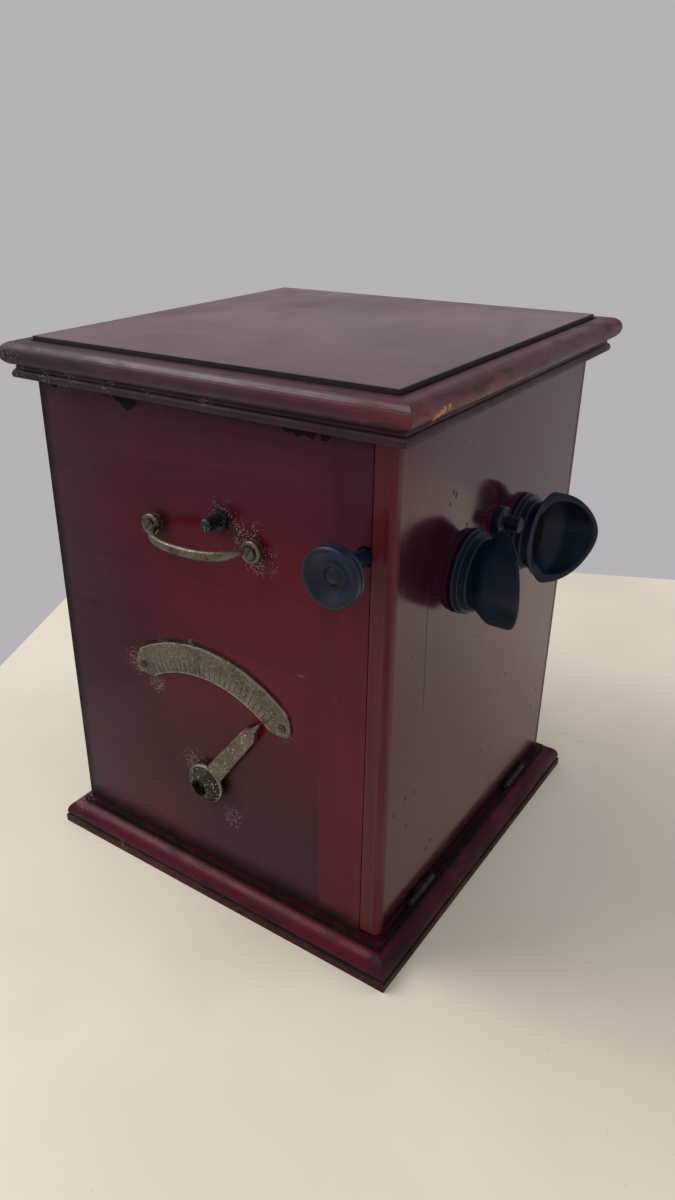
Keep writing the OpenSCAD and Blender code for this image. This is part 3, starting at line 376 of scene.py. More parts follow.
finishes = {
    "left_panel": crimson("panelLeft", "y", redAndLit=wallRedAndLight, paintedSheen=wallPaintedSheen,
                          grimeAndShade=wallEdgeDirtAndShade + [fittingDirtAndShade], specks=wallSpecks,
                          chips=[((wallX, 44.6, 296), 11), ((wallX, 51, 298), 8),
                                 ((wallX, -67, 297.5), 8), ((wallX, -61, 297.5), 8),
                                 ((wallX, -55, 298), 7), ((wallX, 59, 298.5), 6),
                                 ((wallX, 98, 297), 5)]),
    "left_stile": crimson("stileLeft", "z", redAndLit=lambda f: f.rise(f.z, 280, 110, 0.36, 0.44), shift=3,
                          # painted reflection: plum grey sheen towards the top
                          paintedSheen=lambda f: f.rise(f.z, 210, 280, 0, 0.3),
                          # painted shade, partly dirt, above the plinth and under the cornice
                          grimeAndShade=[beside("z", plinthTop, 12, 1), beside("z", corniceFoot, 9, -1)],
                          wear=[lambda f: f.rise(abs(f.z - 120), 10, 60, 0.14, 0)],
                          chips=[((wallX, -74, 297.5), 8)]),
    "right_panel": crimson("panelRight", "y", redAndLit=wallRedAndLight, grimeAndShade=wallEdgeDirtAndShade, shift=5),
    "right_stile": crimson("stileRight", "z", redAndLit=lambda f: f.rise(f.z, 260, 90) * 0.5, shift=8,
                           # painted shade, partly dirt, above the plinth and under the cornice
                           grimeAndShade=[beside("z", plinthTop, 16, 1), beside("z", corniceFoot, 12, -1)]),
    # painted shade, partly dirt, above the plinth
    "back_frame": crimson("frameBack", "z", grimeAndShade=[beside("z", plinthTop, 16, 1)], shift=11),
    "glass_beads": crimson("beadBack", "x", shift=12),
    "top_board": crimson("boardTop", "x", shift=14, rough=0.28, shine=0.58, smudge=(7, 9, 9),
                         # painted shade, partly dirt, along the outer edge where the board meets the
                         # cornice
                         grimeAndShade=[lambda f: f.rise(outward(f), -1.4, 0)],
                         wear=[lambda f: f.nearAny([((-75, -70, 320), 60), ((60, -40, 320), 80),
                                                    ((-10, 20, 320), 90)]) * 0.25]),
    # painted shade, partly dirt, along the bottom edge on the table
    "base_board": crimson("boardBase", "x", shift=16, grimeAndShade=[beside("z", 0, 4, 1)]),
    "cornice_mouldings": crimson(
        "cornice", "ring", shift=18, rough=0.34, shine=0.32, wavy=0.22,
        # painted light: the top of the cornice, which faces the light, is redder and brighter
        redAndLit=lambda f: f.rise(f.z, 308, 316) * 0.3,
        # painted reflection: more plum grey sheen towards the back
        paintedSheen=lambda f: f.rise(f.y, -110, 40, 0.25, 0.85),
        # painted shade, partly dirt: under the cornice, in its grooves, along the top board and darker
        # towards the back; the noise streaks are dirt
        grimeAndShade=[lambda f: f.rise(f.z, 303, 307, 0.5, 0),
               lambda f: f.rise(abs(f.z - 305.2), 0.5, 1.2, 1, 0),
               lambda f: f.rise(outward(f), 1.2, 3.0, 1, 0) * f.rise(f.z, 313, 315),
               lambda f: f.rise(f.y, 20, 110, 0.1, 0.65),
               lambda f: f.rise(f.noise((24, 24, 150), 4, 0.6, 0.4, (5, 2, 2)), 0.5, 0.66, 0, 0.55)],
        wear=[lambda f: f.rise(abs(f.z - 312), 0.5, 4.5, 0.6, 0)
              * f.nearAny([((-110, -124, 312), 60), ((-60, -124, 312), 60)]),
              lambda f: f.rise(abs(f.z - 313.5), 0.5, 3, 0.45, 0)
              * f.rise(f.noise((30, 30, 90), 4, 0.6, 0.3), 0.46, 0.62)
              * f.rise(f.y, 60, -100, 0.1, 1),
              lambda f: f.rise(abs(f.z - 304), 0.6, 1.4, 0.4, 0)
              * f.rise(f.noise((40, 40, 120), 4, 0.6, 0.3, (2, 2, 6)), 0.48, 0.6)],
        specks=[((-120, 118, 308), 16), ((-119, 96, 304), 9), ((-119, 74, 304), 8),
                ((-119, 50, 304), 9), ((-119, 22, 304), 7), ((-119, -14, 304), 7)],
        bare=[((-105, -124.6, 308), 4.6), ((-101.5, -125, 309), 5.0), ((-98, -125, 310), 4.6),
              ((-94.5, -125, 311), 4.0), ((-113, -124, 306), 3.4)]),
    "plinth_mouldings": crimson(
        "plinth", "ring", shift=21, rough=0.36, shine=0.15, wavy=0.2,
        # painted highlight: the rounded top of the plinth is redder and brighter
        redAndLit=lambda f: f.rise(f.z, 9, 15) * 0.4,
        # painted shade, partly dirt, in the groove at the lower step and against the wall; darker on
        # the lower fillet; the front band and the noise streaks are dirt
        grimeAndShade=[lambda f: f.rise(abs(f.z - 6.1), 1.0, 1.7, 1, 0),
               lambda f: f.rise(outward(f), 3.4, 5.6, 1, 0),
               lambda f: f.rise(f.y, -110, -113) * f.rise(f.noise((30, 30, 160), 3, 0.6), 0.3, 0.6,
                                                       0.25, 0.7),
               lambda f: f.rise(f.z, 4.8, 5.6, 0.4, 0),
               lambda f: f.rise(f.noise((26, 26, 150), 4, 0.6, 0.4, (1, 6, 2)), 0.5, 0.66, 0, 0.6)],
        wear=[lambda f: f.rise(f.z, 4.5, 5.4, 0.1, 0)],
        specks=[((-117, 116, 17), 15), ((-120, 92, 18), 6), ((-126, 70, 5), 6),
                ((-120, 48, 17), 5)]),
}


door = {  # in mm
    "crack": {"x": -76, "lean": 0.04, "leanFrom": 200, "level": 196, "half": 38, "wide": 0.25},
    "rubbed": (2.4, 4.6),  # how far the rubbed edge reaches behind the front, and where it ends
    "knocks": ((-64, doorFront, 158), 22),
}


def doorCrack(f):
    crack = door["crack"]
    across = abs(f.x - crack["x"] + (f.z - crack["leanFrom"]) * crack["lean"])
    along = f.rise(abs(f.z - crack["level"]), crack["half"], crack["half"] + 14, 1, 0)
    return f.rise(across, crack["wide"], crack["wide"] + 0.35, 0.9, 0) * along


def doorKnocks(f):
    pick = f.cells((110, 60, 62), (2, 3, 9)) + (f.noise(900, 2) - 0.5) * 0.1
    place = f.rise(f.noise(16, 2, 0.5, 0, (1, 8, 3)), 0.54, 0.62).most(f.near(*door["knocks"]))
    return f.rise(pick, 0.07, 0.12, 1, 0) * place


def doorFinish():
    f = Finish("doorPolish")
    figure = f.noise((40, 40, 2.6), 3, 0.5, 0.7)
    fibre = f.noise((560, 560, 11), 4, 0.6, 0.2)
    cloud = f.noise((9, 9, 5), 3, 0.5, 0.5)
    crack, knock = doorCrack(f), doorKnocks(f)
    fromSide = sideFace - abs(f.x)
    rubbedTo, freshFrom = (doorFront + depth for depth in door["rubbed"])
    side = f.rise(fromSide, 0.2, 0.8, 1, 0) * f.rise(f.y, rubbedTo, freshFrom)
    colour = f.mix(f.rise(cloud, 0.3, 0.7), tone(44, 11, 28), tone(58, 14, 34))
    colour = f.mix(f.rise(f.z, 190, 40, 0, 0.5), colour, tone(74, 30, 34))
    colour = f.mix(f.rise(figure, 0.45, 0.7, 0, 0.25), colour, wood["grimeAndShade"])
    colour = f.mix(f.rise(fibre, 0.4, 0.75, 0, 0.22), colour, wood["grimeAndShade"])
    colour = f.mix(crack, colour, wood["grimeAndShade"])
    colour = f.mix(knock * 0.85, colour, wood["chip"])
    colour = f.mix(side * 0.5, colour, wood["deep"])
    # painted shade, partly dirt: darker towards the bottom where the door meets the plinth
    colour = f.mix(beside("z", 22, 12, 1)(f), colour, wood["grimeAndShade"])
    smear = f.noise((14, 14, 8), 4, 0.6, 1.1)
    wipe = f.noise((130, 130, 16), 3, 0.6, 0.3, (4, 2, 0))
    gloss = f.rise(smear, 0.3, 0.75, 0.1, 0.19) + f.rise(wipe, 0.5, 0.8, 0, 0.05) + knock * 0.3
    ripple = f.bump(fibre * 0.006 + f.noise(60, 2, 0.5) * 0.02 + f.noise((22, 22, 9), 2) * 0.12
                    - knock * 0.25)
    lacquer = f.shade(colour=colour, rough=gloss, index=1.55, normal=ripple, specular=0.6,
                      tint=(1, 0.71, 0.8, 1))
    faded = f.mix(f.rise(fibre, 0.3, 0.7), tone(88, 26, 30), tone(70, 18, 28))
    worn = f.shade(colour=f.mix(crack, faded, wood["grimeAndShade"]), rough=0.45, index=1.5,
                   normal=ripple, specular=0.22)
    rub = f.rise(f.y, rubbedTo, freshFrom, 1, 0) * f.rise(fromSide, 4.2, 8.2, 1, 0)
    rub = rub * f.rise(f.noise((60, 60, 14), 3, 0.6), 0.3, 0.55, 0.75, 1)
    shade = f.rise(f.z, 235, 290) * f.rise(f.x, -55, -105) * 0.4  # painted shade: duller, darker lacquer in the upper left corner, in place of the cornice's reflection
    return f.done(f.add("ShaderNodeMixShader", {}, {
        0: rub.most(side * 0.8).most(crack).most(shade), 1: lacquer, 2: worn}))


finishes["front_door"] = doorFinish()
print("crimson polish ready")


# bare wood, metals, ebonite and glass

def plainWood(name, along="x", shift=0):
    f = Finish(name)
    fibre = f.noise(grainScale(along, 480, 12), 4, 0.6, 0.3, (shift, 0, 0))
    ring = f.noise(grainScale(along, 70, 5), 2, 0.5, 1.0, (shift, 2, 0))
    colour = f.mix(f.rise(ring, 0.35, 0.65), tone(158, 120, 78), tone(96, 66, 42))
    colour = f.mix(f.rise(fibre, 0.45, 0.75, 0, 0.5), colour, tone(66, 42, 28))
    colour = f.mix(f.rise(f.noise(26, 4), 0.5, 0.8, 0, 0.5), colour, tone(60, 48, 38))
    return f.done(colour=colour, rough=f.rise(ring, 0.3, 0.7, 0.55, 0.75),
                  normal=f.bump(fibre, 0.06))


def agedMetal(name, bright, dull, dark, pits=0.4, rough=0.34, specks=0.0, rim=None, metal=0.9):
    f = Finish(name)
    cloud = f.noise(60, 4, 0.6, 0.4)
    fine = f.noise(900, 3, 0.6)
    pit = f.rise(f.noise(420, 4, 0.65), 0.56, 0.68)
    colour = f.mix(f.rise(cloud, 0.35, 0.65), dull, bright)
    colour = f.mix(f.rise(fine, 0.45, 0.8, 0, 0.35), colour, dark)
    colour = f.mix(pit * pits, colour, dark)
    if rim:
        light, shade = rim(f)
        colour = f.mix(shade, colour, dark)
        # a pale line along the rim's edges; on the scale plate it is a painted highlight
        colour = f.mix(light, colour, tone(188, 184, 166))
    gloss = f.rise(cloud, 0.3, 0.7, rough * 1.2, rough * 0.8) + pit * 0.25 * pits + fine * 0.08
    shine = f.rise(pit * pits + fine * 0.3, 0.1, 0.9, metal, metal * 0.55)
    height = fine * 0.012 - pit * 0.06 * pits
    if specks:
        fleck = f.rise(f.noise(1100, 2, 0.6, 0.4, (9, 2, 5)), 0.62, 0.67) * f.rise(
            f.noise(150, 2, 0.5, 0, (3, 3, 1)), 0.34, 0.5)
        colour = f.mix(fleck * specks, colour, tone(214, 210, 196))
        gloss = gloss + fleck * 0.3
        shine = shine * (1 - fleck * specks)
        height = height + fleck * 0.04
    return f.done(colour=colour, rough=gloss, metal=shine, normal=f.bump(height))


def scaleRim(f):  # a painted highlight along both curved edges, dirty in the middle
    across = fromPivot(f)
    edge = abs(across - scaleInner).least(abs(across - scaleOuter))
    light = f.rise(edge, 0.2, 0.7, 0.6, 0) * f.rise(f.noise(200, 3), 0.3, 0.5)
    shade = f.rise(f.noise((120, 300, 300), 3, 0.6), 0.5, 0.75, 0, 0.35)
    return light, shade


def bossRim(f):  # the turned boss is darker than the arm, and brighter on its edge
    across = fromPivot(f)
    light = f.rise(abs(across - bossRadius), 0.2, 0.7, 0.4, 0)
    shade = f.rise(across, bossRadius - 0.7, bossRadius + 0.4, 0.85, 0.05)
    return light, shade


nickel = {"bright": tone(116, 108, 93), "dull": tone(96, 89, 76), "dark": tone(30, 27, 22)}
finishes["scale_plate"] = agedMetal("scaleNickel", **nickel, pits=0.3, rough=0.42, specks=0.5,
                                    rim=scaleRim, metal=0.8)
finishes["pointer_arm"] = agedMetal("pointerNickel", **nickel, pits=0.8, rough=0.4, specks=0.9,
                                    rim=bossRim, metal=0.8)
finishes["handleMetal"] = agedMetal("bowNickel", tone(122, 116, 100), tone(84, 77, 64),
                                    tone(28, 25, 21), pits=0.9, rough=0.38, specks=0.35)
finishes["screwMetal"] = agedMetal("screwNickel", tone(108, 103, 88), tone(66, 62, 50),
                                   tone(20, 18, 15), pits=0.8, rough=0.36, specks=0.4)
finishes["pegMetal"] = agedMetal("pegSteel", tone(76, 83, 90), tone(46, 52, 60), tone(12, 13, 15),
                                 pits=0.9, rough=0.36, specks=0.5)
finishes["brass"] = agedMetal("agedBrass", tone(176, 142, 78), tone(132, 102, 54),
                              tone(52, 38, 22), pits=0.4, rough=0.34)
finishes["steel"] = agedMetal("drawnSteel", tone(150, 152, 152), tone(110, 112, 113),
                              tone(50, 48, 46), pits=0.3, rough=0.28)
finishes["hinge"] = agedMetal("hingeSteel", tone(48, 43, 37), tone(32, 28, 25),
                              tone(18, 15, 14), pits=0.8, rough=0.55, metal=0.55)
finishes["black"] = agedMetal("blackedTin", tone(26, 27, 29), tone(17, 18, 20), tone(40, 36, 32),
                              pits=0.4, rough=0.55, metal=0.2)


def ebonite(name, rough=0.42, dust=0.3):
    f = Finish(name)
    cloud = f.noise(45, 4, 0.6, 0.5)
    colour = f.mix(f.rise(cloud, 0.35, 0.7), tone(5, 19, 34), tone(10, 28, 45))
    film = f.rise(f.noise(260, 4, 0.65), 0.5, 0.75)
    colour = f.mix(film * dust * 0.3, colour, tone(50, 62, 74))
    line = f.rise(f.cells((300, 60, 40), (2, 1, 7), (0.4, 1.1, 0.3)), 0.01, 0.03, 1, 0)
    colour = f.mix(line * 0.2, colour, tone(120, 120, 116))
    gloss = f.rise(cloud, 0.3, 0.7, rough * 0.85, rough * 1.2) + film * 0.12 + line * 0.15
    return f.done(colour=colour, rough=gloss, index=1.5, specular=0.3,
                  normal=f.bump(f.noise(500, 3) * 0.015 + cloud * 0.06))


finishes["ebonite"] = ebonite("eboniteCups")
finishes["knobBlack"] = ebonite("eboniteKnob", 0.36, 0.5)


def lensGlass():
    f = Finish("lensGlass")
    dust = f.rise(f.noise(300, 4, 0.6), 0.5, 0.75, 0, 0.12)
    return f.done(colour=f.mix(dust, tone(232, 240, 238), tone(200, 198, 188)), rough=dust + 0.02,
                  clear=1.0, index=1.5)


finishes["clearGlass"] = lensGlass()


def pictureGlass():  # glass positives: a grey image, framed in black tape, bare of any subject
    f = Finish("stereoGlass")
    cloud = f.noise((30, 90, 34), 5, 0.6, 0.6)
    tape = f.rise(abs(abs(f.x) - 27), 20.5, 21).most(f.rise(abs(f.z - 91), 19, 19.5))
    colour = f.mix(f.rise(cloud, 0.3, 0.7), tone(84, 76, 64), tone(196, 188, 170))
    colour = f.mix(tape, colour, tone(20, 18, 18))
    return f.done(colour=colour, rough=f.rise(cloud, 0.3, 0.7, 0.12, 0.2), index=1.5)


finishes["slides"] = pictureGlass()


def frosted():
    f = Finish("frostedGlass")
    grain = f.noise(1400, 3, 0.6)
    age = f.rise(f.noise(16, 4, 0.6), 0.45, 0.75, 0, 0.5)
    colour = f.mix(age, tone(214, 214, 206), tone(186, 178, 158))
    return f.done(colour=colour, rough=f.rise(grain, 0.3, 0.7, 0.55, 0.75), clear=0.35, index=1.5,
                  normal=f.bump(grain, 0.05))


finishes["frosted"] = frosted()
print("metals, ebonite and glass ready")

dress = {  # CAD part: finish
    "ground_glass": "frosted", "hinge_base_leaves": "hinge", "hinge_pins": "steel",
    "hinge_door_leaves": "hinge", "wall_screws": "screwMetal", "wall_bushes": "pegMetal",
    "lift_rail": "steel", "septum": "black", "focus_bearings": "brass", "guide_rods": "steel",
    "focus_shaft": "black", "focus_knob": "knobBlack", "focus_pinions": "brass",
    "focus_plate": "black", "focus_racks": "brass", "slide_gibs": "brass",
    "spacing_knob": "knobBlack", "spacing_spindle": "steel", "left_lens_slide": "brass",
    "right_lens_slide": "brass", "left_tube": "black", "right_tube": "black",
    "left_flange": "ebonite", "right_flange": "ebonite", "left_lens": "clearGlass",
    "right_lens": "clearGlass", "left_eyecup": "ebonite", "right_eyecup": "ebonite",
    "pointer_shaft": "steel", "index_sector": "brass", "tray_carriage": "black",
    "index_rack": "brass", "slide_tray": "black", "glass_slides": "slides",
    "hold_pin": "pegMetal", "lift_lever": "handleMetal", "lift_knob": "knobBlack",
    "lift_shaft": "steel", "lift_gear": "brass", "lifter_block": "black", "lift_rack": "brass",
    "lift_magnets": "steel", "bow_handle": "handleMetal",
}
finishes["deck_board"] = plainWood("deckPine", "x")
finishes["deck_battens"] = plainWood("battenPine", "x", shift=3)
finishes["tray_runners"] = plainWood("runnerBeech", "y", shift=6)


def cover(thing, material):
    thing.data.materials.clear()
    thing.data.materials.append(material)


def soften(thing, width):  # a rounded edge where the maker sanded it
    edge = thing.modifiers.new("soften", "BEVEL")
    edge.width, edge.segments = width * mm, 2
    edge.limit_method, edge.angle_limit = "ANGLE", math.radians(32)
    edge.harden_normals = True
    edge.miter_outer = "MITER_ARC"


for name, thing in nodes.items():
    cover(thing, finishes[name] if name in finishes else finishes[dress[name]])

edges = {  # width of each rounded edge, in mm
    "left_panel": 0.3, "right_panel": 0.3, "left_stile": 0.35, "right_stile": 0.35,
    "front_door": 0.7, "top_board": 0.7, "back_frame": 0.5, "base_board": 0.5,
    "deck_board": 0.4, "deck_battens": 0.6, "tray_runners": 0.5, "focus_plate": 0.2,
    "slide_tray": 0.3, "septum": 0.3, "pointer_arm": 0.3, "lift_lever": 0.4, "glass_slides": 0.15,
}
for name, width in edges.items():
    soften(nodes[name], width)
print("CAD parts dressed")


# new meshes

def build(name, points, faces, material, body, stands=(), smooth=True):
    mesh = bpy.data.meshes.new(name)
    mesh.from_pydata([tuple(p) for p in points], [], faces)
    mesh.update()
    thing = bpy.data.objects.new(name, mesh)
    bpy.context.scene.collection.objects.link(thing)
    mesh.materials.append(material)
    work = bmesh.new()
    work.from_mesh(mesh)
    bmesh.ops.remove_doubles(work, verts=work.verts, dist=1e-6)
    bmesh.ops.recalc_face_normals(work, faces=work.faces)
    work.to_mesh(mesh)
    work.free()
    for face in mesh.polygons:
        face.use_smooth = smooth
    if smooth:
        mesh.set_sharp_from_angle(angle=math.radians(42))
    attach(thing, body)
    if stands:
        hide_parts(*stands)
    return thing


def grid(rows, loop=True, caps=(True, True)):
    # skin over rings of points, each ring as long as the others
    points = [p for row in rows for p in row]
    n = len(rows[0])
    faces = []
    for j in range(len(rows) - 1):
        for i in range(n if loop else n - 1):
            a, b = j * n + i, j * n + (i + 1) % n
            faces.append((a, b, b + n, a + n))
    if caps[0]:
        faces.append(tuple(range(n)))
    if caps[1]:
        faces.append(tuple(range((len(rows) - 1) * n, len(rows) * n)))
    return points, faces


def turned(profile, place, steps=96):
    # profile is (radius, distance along the axis) in mm; place maps x, y and that distance to a point
    rows = []
    for radius, along in profile:
        rows.append([place(radius * math.cos(2 * math.pi * i / steps),
                           radius * math.sin(2 * math.pi * i / steps), along)
                     for i in range(steps)])
    return grid(rows, caps=(False, False))


# eyecups: a round base that swells into an egg, low at the nose and high at the temple

cup = {
    "base": 18.2, "bore": 14.0, "middle": -1.5, "nasal": 16.5, "temple": 23.8, "tall": 26.5,
    "narrow": 0.33, "low": 4.0, "high": 29.0, "flare": 8.5, "lip": 8.2, "thin": 2.2,
    "steps": 120, "turn": 3,  # degrees that the temple ends hang down
}


def cupEdge(angle, inset=0.0):
    c, s = math.cos(angle), math.sin(angle)
    reach = (cup["temple"] if c > 0 else cup["nasal"]) - inset
    narrow = 1 - cup["narrow"] * c * c if c > 0 else 1
    return cup["middle"] + reach * c, (cup["tall"] - inset) * s * narrow


def cupRim(x):
    start = cup["middle"] - cup["nasal"]
    u = (x - start) / (cup["temple"] + cup["nasal"])
    w = max(0.0, (u - 0.3) / 0.7)
    return cup["low"] + 3 * u + (cup["high"] - cup["low"] - 3) * w * (1.45 - 0.45 * w)


def ease(t):
    t = min(1.0, max(0.0, t))
    return t * t * (3 - 2 * t)


def lipInset(angle):  # the lip is thickest at the nose
    nose = ease(0.5 - 0.62 * math.cos(angle))
    return cup["thin"] + (cup["lip"] - cup["thin"]) * nose


def eyecup(side, name):
    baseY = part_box(name)[1].y
    low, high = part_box(name.replace("eyecup", "flange"))
    centreX, centreZ = (low.x + high.x) / 2, (low.z + high.z) / 2
    turn = math.radians(cup["turn"])

    def spot(x, z, out):
        x, z = x * math.cos(turn) + z * math.sin(turn), z * math.cos(turn) - x * math.sin(turn)
        return Vector((centreX + side * x * mm, baseY - out * mm, centreZ + z * mm))

    def ring(radius, inset, level, flare):
        # round at the base, egg-shaped from flare upwards; level gives how far out, from the rim's
        row = []
        for i in range(cup["steps"]):
            a = 2 * math.pi * i / cup["steps"]
            ex, ez = cupEdge(a, inset(a))
            out = level(cupRim(ex))
            blend = ease(out / flare)
            bx, bz = radius * math.cos(a), radius * math.sin(a)
            row.append(spot(bx + (ex - bx) * blend, bz + (ez - bz) * blend, out))
        return row

    inside = [ring(cup["bore"], lipInset, lambda rim: (rim - 0.35) * (1 - (1 - k / 12) ** 1.3),
                   cup["flare"] + 1.5) for k in range(13)]
    lip = [ring(cup["base"], lambda a: lipInset(a) * (1 - share), lambda rim: rim + lift - 0.2,
                cup["flare"]) for lift, share in ((0.15, 0.12), (0.45, 0.35), (0.45, 0.65), (0.1, 0.9))]
    outside = [ring(cup["base"], lambda a: 0.0, lambda rim: (rim - 0.5) * (1 - k / 14),
                    cup["flare"]) for k in range(15)]
    points, faces = grid(inside + lip + outside + inside[:1], caps=(False, False))
    hand = name.split("_")[0]
    return build("cup" + hand.title(), points, faces, finishes["ebonite"], hand + "_eyepiece",
                 (name,))


for side, name in ((-1, "left_eyecup"), (1, "right_eyecup")):
    eyecup(side, name)

flangeTurn = [  # radius, distance out from the back of the flange
    (15.55, 0), (21.7, 0), (22.2, 0.25), (22.4, 0.8), (22.4, 1.7), (22.1, 2.2), (21.5, 2.4),
    (21.1, 2.45), (20.9, 2.7), (20.9, 3.0), (21.2, 3.2), (21.7, 3.3), (21.9, 3.6), (21.9, 4.3),
    (21.6, 4.7), (21.0, 4.9), (20.2, 5.0), (19.8, 5.2), (19.75, 5.7), (19.45, 5.9), (19.75, 6.1),
    (19.75, 6.7), (19.45, 6.9), (19.75, 7.1), (19.7, 7.8), (19.2, 8.3), (18.6, 8.5), (15.55, 8.5),
    (15.55, 0)]
for hand in ("left", "right"):
    low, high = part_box(hand + "_flange")
    cx, cz, cy = (low.x + high.x) / 2, (low.z + high.z) / 2, high.y
    points, faces = turned(flangeTurn, lambda x, z, out: (cx + x * mm, cy - out * mm, cz + z * mm))
    build("flange" + hand.title(), points, faces, finishes["ebonite"], hand + "_eyepiece",
          (hand + "_flange",))
print("eyepieces made")


# bow handle: a flattened bar that runs into two round feet

handle = {"wide": 2.5, "thick": 1.9, "foot": 6.0, "rise": 15.0, "lean": 6, "sweep": 56, "round": 28,
          "square": 0.8, "inset": 4.6, "start": 4.2}  # inset: the bar ends inside each foot's rim


def squared(value):  # a sine or cosine pushed towards a flattened circle
    return math.copysign(abs(value) ** handle["square"], value)


def bowHandle():
    low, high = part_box("bow_handle")
    wall = high.x
    footR = handle["foot"] * mm
    z0 = high.z - footR
    yA, yB = low.y + footR, high.y - footR
    half = (yB - yA) / 2 - handle["inset"] * mm
    lean = math.radians(handle["lean"])
    start = Vector((wall - handle["start"] * mm, (yA + yB) / 2, z0))
    away = Vector((-math.cos(lean), 0, -math.sin(lean)))  # the way that the bow stands out
    flat = away.cross(Vector((0, 1, 0))).normalized()

    def centre(t):  # from -1 at the front foot to 1 at the back foot
        a = (t + 1) * math.pi / 2
        return (start + Vector((0, -squared(math.cos(a)) * half, 0))
                + away * math.sin(a) * handle["rise"] * mm)

    rows = []
    n = handle["sweep"]
    for k in range(n + 1):
        t = 2 * k / n - 1
        along = (centre(min(1, t + 0.02)) - centre(max(-1, t - 0.02))).normalized()
        up = along.cross(flat).normalized()
        neck = ease((abs(t) - 0.45) / 0.5)
        wide = handle["wide"] * (1 - 0.28 * neck - 0.06 * t)
        thick = handle["thick"] * (1 - 0.05 * neck)
        row = []
        for i in range(handle["round"]):
            b = 2 * math.pi * i / handle["round"]
            row.append(centre(t) + flat * squared(math.cos(b)) * wide * mm
                       + up * squared(math.sin(b)) * thick * mm)
        rows.append(row)
    points, faces = grid(rows)
    return points, faces, (yA, yB), z0, wall


points, faces, footYs, footUp, wallFace = bowHandle()
build("handleBar", points, faces, finishes["handleMetal"], "cabinet", ("bow_handle",))
footTurn = [(0, 0), (5.2, 0), (5.5, 0.3), (5.4, 1.4), (5.2, 2.2), (5.5, 2.9), (5.95, 3.3),
            (6.0, 4.0), (5.85, 4.6), (5.4, 5.0), (4.6, 5.1), (3.9, 4.9), (3.5, 4.5), (0, 4.5)]
for mark, y in zip("AB", footYs):
    points, faces = turned(footTurn, lambda a, b, out: (
        wallFace - out * mm, y + a * mm, footUp + b * mm), 48)
    build("handleFoot" + mark, points, faces, finishes["handleMetal"], "cabinet")
print("handle made")


# figures on the scale: numbers in two rows, over ticks of two lengths

figures = {"high": 2.3, "stand": 0.05, "outer": 80.6, "inner": 78.2, "first": 37.5, "last": -29.5,
           "count": 25, "tick": 0.25, "tickFrom": 70.0, "tickLong": 78.0, "tickShort": 75.8}
scaleFace = scaleLow.x


def figureAngle(k):
    return math.radians(figures["first"] + (figures["last"] - figures["first"]) * k
                        / (figures["count"] - 1))


def placeFigure(k):  # a number is drawn in X and Y: its X runs along -Y and its Y along +Z
    curve = bpy.data.curves.new("figure", "FONT")
    curve.body = str(figures["count"] - k)
    curve.size = figures["high"] * mm
    curve.align_x, curve.align_y = "CENTER", "CENTER"
    curve.extrude = figures["stand"] * mm / 2
    curve.space_character = 0.95
    thing = bpy.data.objects.new("figure%02d" % k, curve)
    bpy.context.scene.collection.objects.link(thing)
    r = figures["outer"] if k % 2 == 0 else figures["inner"]
    a = figureAngle(k)
    upright = Matrix(((0, 0, -1, 0), (-1, 0, 0, 0), (0, 1, 0, 0), (0, 0, 0, 1)))
    shift = Matrix.Translation((scaleFace - 0.01 * mm, pivotY * mm - r * mm * math.sin(a),
                                pivotZ * mm + r * mm * math.cos(a)))
    thing.matrix_world = shift @ Matrix.Rotation(a, 4, "X") @ upright
    return thing


def tick(k):
    a = figureAngle(k)
    inner, outer = figures["tickFrom"], figures["tickLong" if k % 2 == 0 else "tickShort"]
    return [Vector((scaleFace + 0.12 * mm,
                    (pivotY - r * math.sin(a) + side * figures["tick"] * math.cos(a)) * mm,
                    (pivotZ + r * math.cos(a) + side * figures["tick"] * math.sin(a)) * mm))
            for side, r in ((-1, inner), (1, inner), (1, outer), (-1, outer))]


def scaleFigures():
    drawn = [placeFigure(k) for k in range(figures["count"])]
    bpy.context.view_layer.update()
    graph = bpy.context.evaluated_depsgraph_get()
    points, faces = [], []
    for thing in drawn:
        shape = thing.evaluated_get(graph).to_mesh()
        start = len(points)
        points += [thing.matrix_world @ v.co for v in shape.vertices]
        faces += [tuple(start + i for i in face.vertices) for face in shape.polygons]
        thing.evaluated_get(graph).to_mesh_clear()
    for k in range(figures["count"]):
        faces.append(tuple(range(len(points), len(points) + 4)))
        points += tick(k)
    for thing in drawn:
        curve = thing.data
        bpy.data.objects.remove(thing)
        bpy.data.curves.remove(curve)
    return points, faces


points, faces = scaleFigures()
build("scaleFigures", points, faces,
      agedMetal("figureDark", tone(34, 31, 24), tone(24, 22, 17), tone(12, 11, 9), rough=0.6,
                metal=0.2, specks=0.5), "cabinet", smooth=False)
print("scale figures made")


# table, light and camera

table = {"left": (-17, 334), "leftWay": (0.911, 0.413), "right": (472, -26), "length": 1900,
         "depth": 1500, "thick": 28}


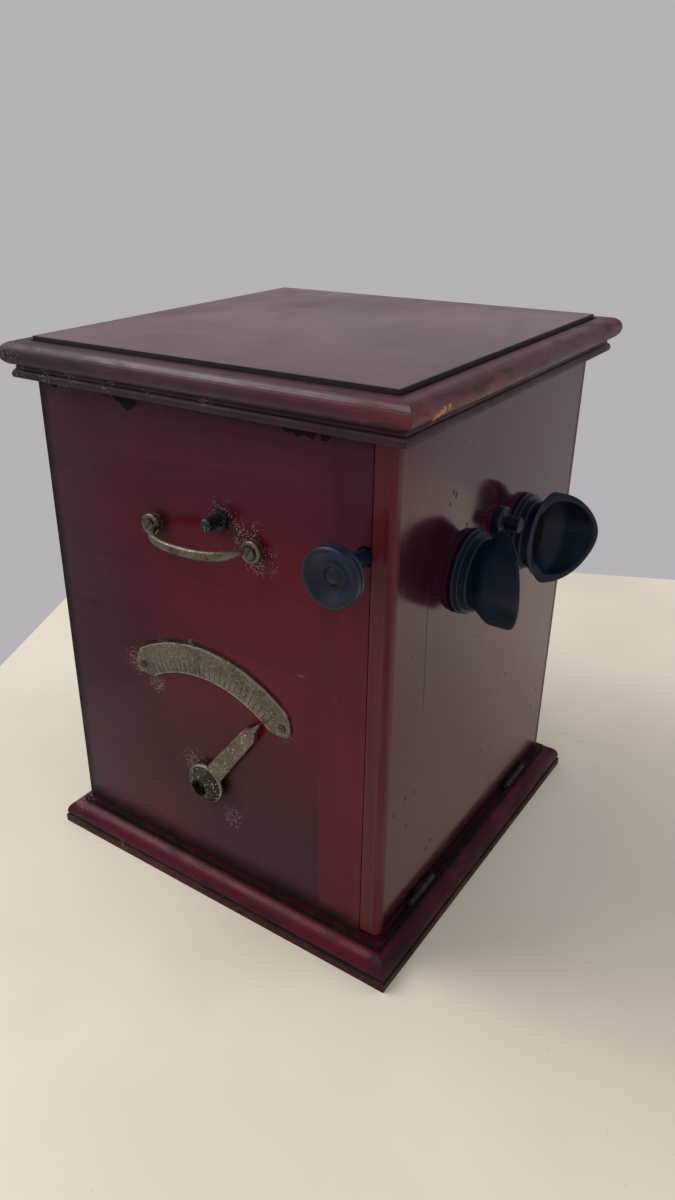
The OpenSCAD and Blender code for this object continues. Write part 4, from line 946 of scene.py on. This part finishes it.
def tableTop():
    f = Finish("tableTop")
    patch = f.noise(5, 4, 0.5, 0.4)
    fleck = f.rise(f.cells(46, (3, 1, 0)), 0.02, 0.035, 1, 0)
    colour = f.mix(f.rise(patch, 0.35, 0.65), tone(214, 208, 190), tone(221, 215, 198))
    colour = f.mix(fleck * 0.15, colour, tone(120, 112, 98))
    material = f.done(colour=colour, rough=f.rise(patch, 0.3, 0.7, 0.42, 0.52), index=1.45)
    ax, ay = table["leftWay"]
    bx, by = ay, -ax
    px, py = table["left"]
    qx, qy = table["right"]
    reach = (qx - px) * ax + (qy - py) * ay  # the far corner, measured along the left edge
    corner = Vector((px + ax * reach, py + ay * reach, 0)) * mm
    alongA = Vector((-ax, -ay, 0)) * table["length"] * mm
    alongB = Vector((bx, by, 0)) * table["depth"] * mm
    down = Vector((0, 0, -table["thick"] * mm))
    tops = [corner, corner + alongA, corner + alongA + alongB, corner + alongB]
    points = tops + [p + down for p in tops]
    faces = [(0, 1, 2, 3), (7, 6, 5, 4), (0, 4, 5, 1), (1, 5, 6, 2), (2, 6, 7, 3), (3, 7, 4, 0)]
    mesh = bpy.data.meshes.new("tableTop")
    mesh.from_pydata([tuple(p) for p in points], [], faces)
    thing = bpy.data.objects.new("tableTop", mesh)
    bpy.context.scene.collection.objects.link(thing)
    mesh.materials.append(material)
    soften(thing, 3)
    thing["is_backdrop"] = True


tableTop()

lamps = [  # name, place, aimed at, size, watts, colour
    ("skyPanel", (-0.5, 1.1, 1.7), (0, 0, 0.1), 1.5, 30, (1.0, 0.98, 0.95)),
    ("frontFill", (0.9, -1.4, 1.2), (0, 0, 0.15), 1.2, 8, (1.0, 0.95, 0.9)),
    ("leftFill", (-1.6, -0.4, 1.1), (0, 0, 0.15), 1.2, 4, (0.96, 0.96, 1.0)),
]
for name, place, aim, size, watts, colour in lamps:
    light = bpy.data.lights.new(name, "AREA")
    light.shape, light.size, light.energy, light.color = "DISK", size, watts, colour
    lamp = bpy.data.objects.new(name, light)
    lamp.location = place
    lamp.visible_glossy = name == "skyPanel"  # the fills leave no highlights
    lamp.rotation_mode = "QUATERNION"
    lamp.rotation_quaternion = (Vector(aim) - Vector(place)).to_track_quat("-Z", "Y")
    bpy.context.scene.collection.objects.link(lamp)

world = bpy.data.worlds.new("softRoom")
bpy.context.scene.world = world
world.use_nodes = True
world.node_tree.nodes["Background"].inputs[0].default_value = tone(180, 178, 181)
world.node_tree.nodes["Background"].inputs[1].default_value = 1.0

view = {"azimuth": -54.02, "height": 26.20, "roll": -0.58, "place": (-435.9, -290.5, 405.7),
        "lens": 27.477, "shiftX": 0.0387, "shiftY": 0.0025}
az, el, roll = (math.radians(view[key]) for key in ("azimuth", "height", "roll"))
back = Vector((math.sin(az) * math.cos(el), -math.cos(az) * math.cos(el), math.sin(el)))
right = (-back).cross(Vector((0, 0, 1))).normalized()
up = right.cross(-back)
across = right * math.cos(roll) + up * math.sin(roll)
upward = up * math.cos(roll) - right * math.sin(roll)
lens = bpy.data.cameras.new("camera")
lens.lens, lens.sensor_width = view["lens"], 36
lens.shift_x, lens.shift_y = view["shiftX"], view["shiftY"]
lens.clip_start, lens.clip_end = 0.02, 20
camera = bpy.data.objects.new("camera", lens)
camera.matrix_world = Matrix.Translation(Vector(view["place"]) * mm) @ Matrix(
    (across, upward, back)).transposed().to_4x4()
bpy.context.scene.collection.objects.link(camera)
bpy.context.scene.camera = camera
bpy.context.scene.view_settings.view_transform = "Standard"
print("table, light and camera set")

low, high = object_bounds()
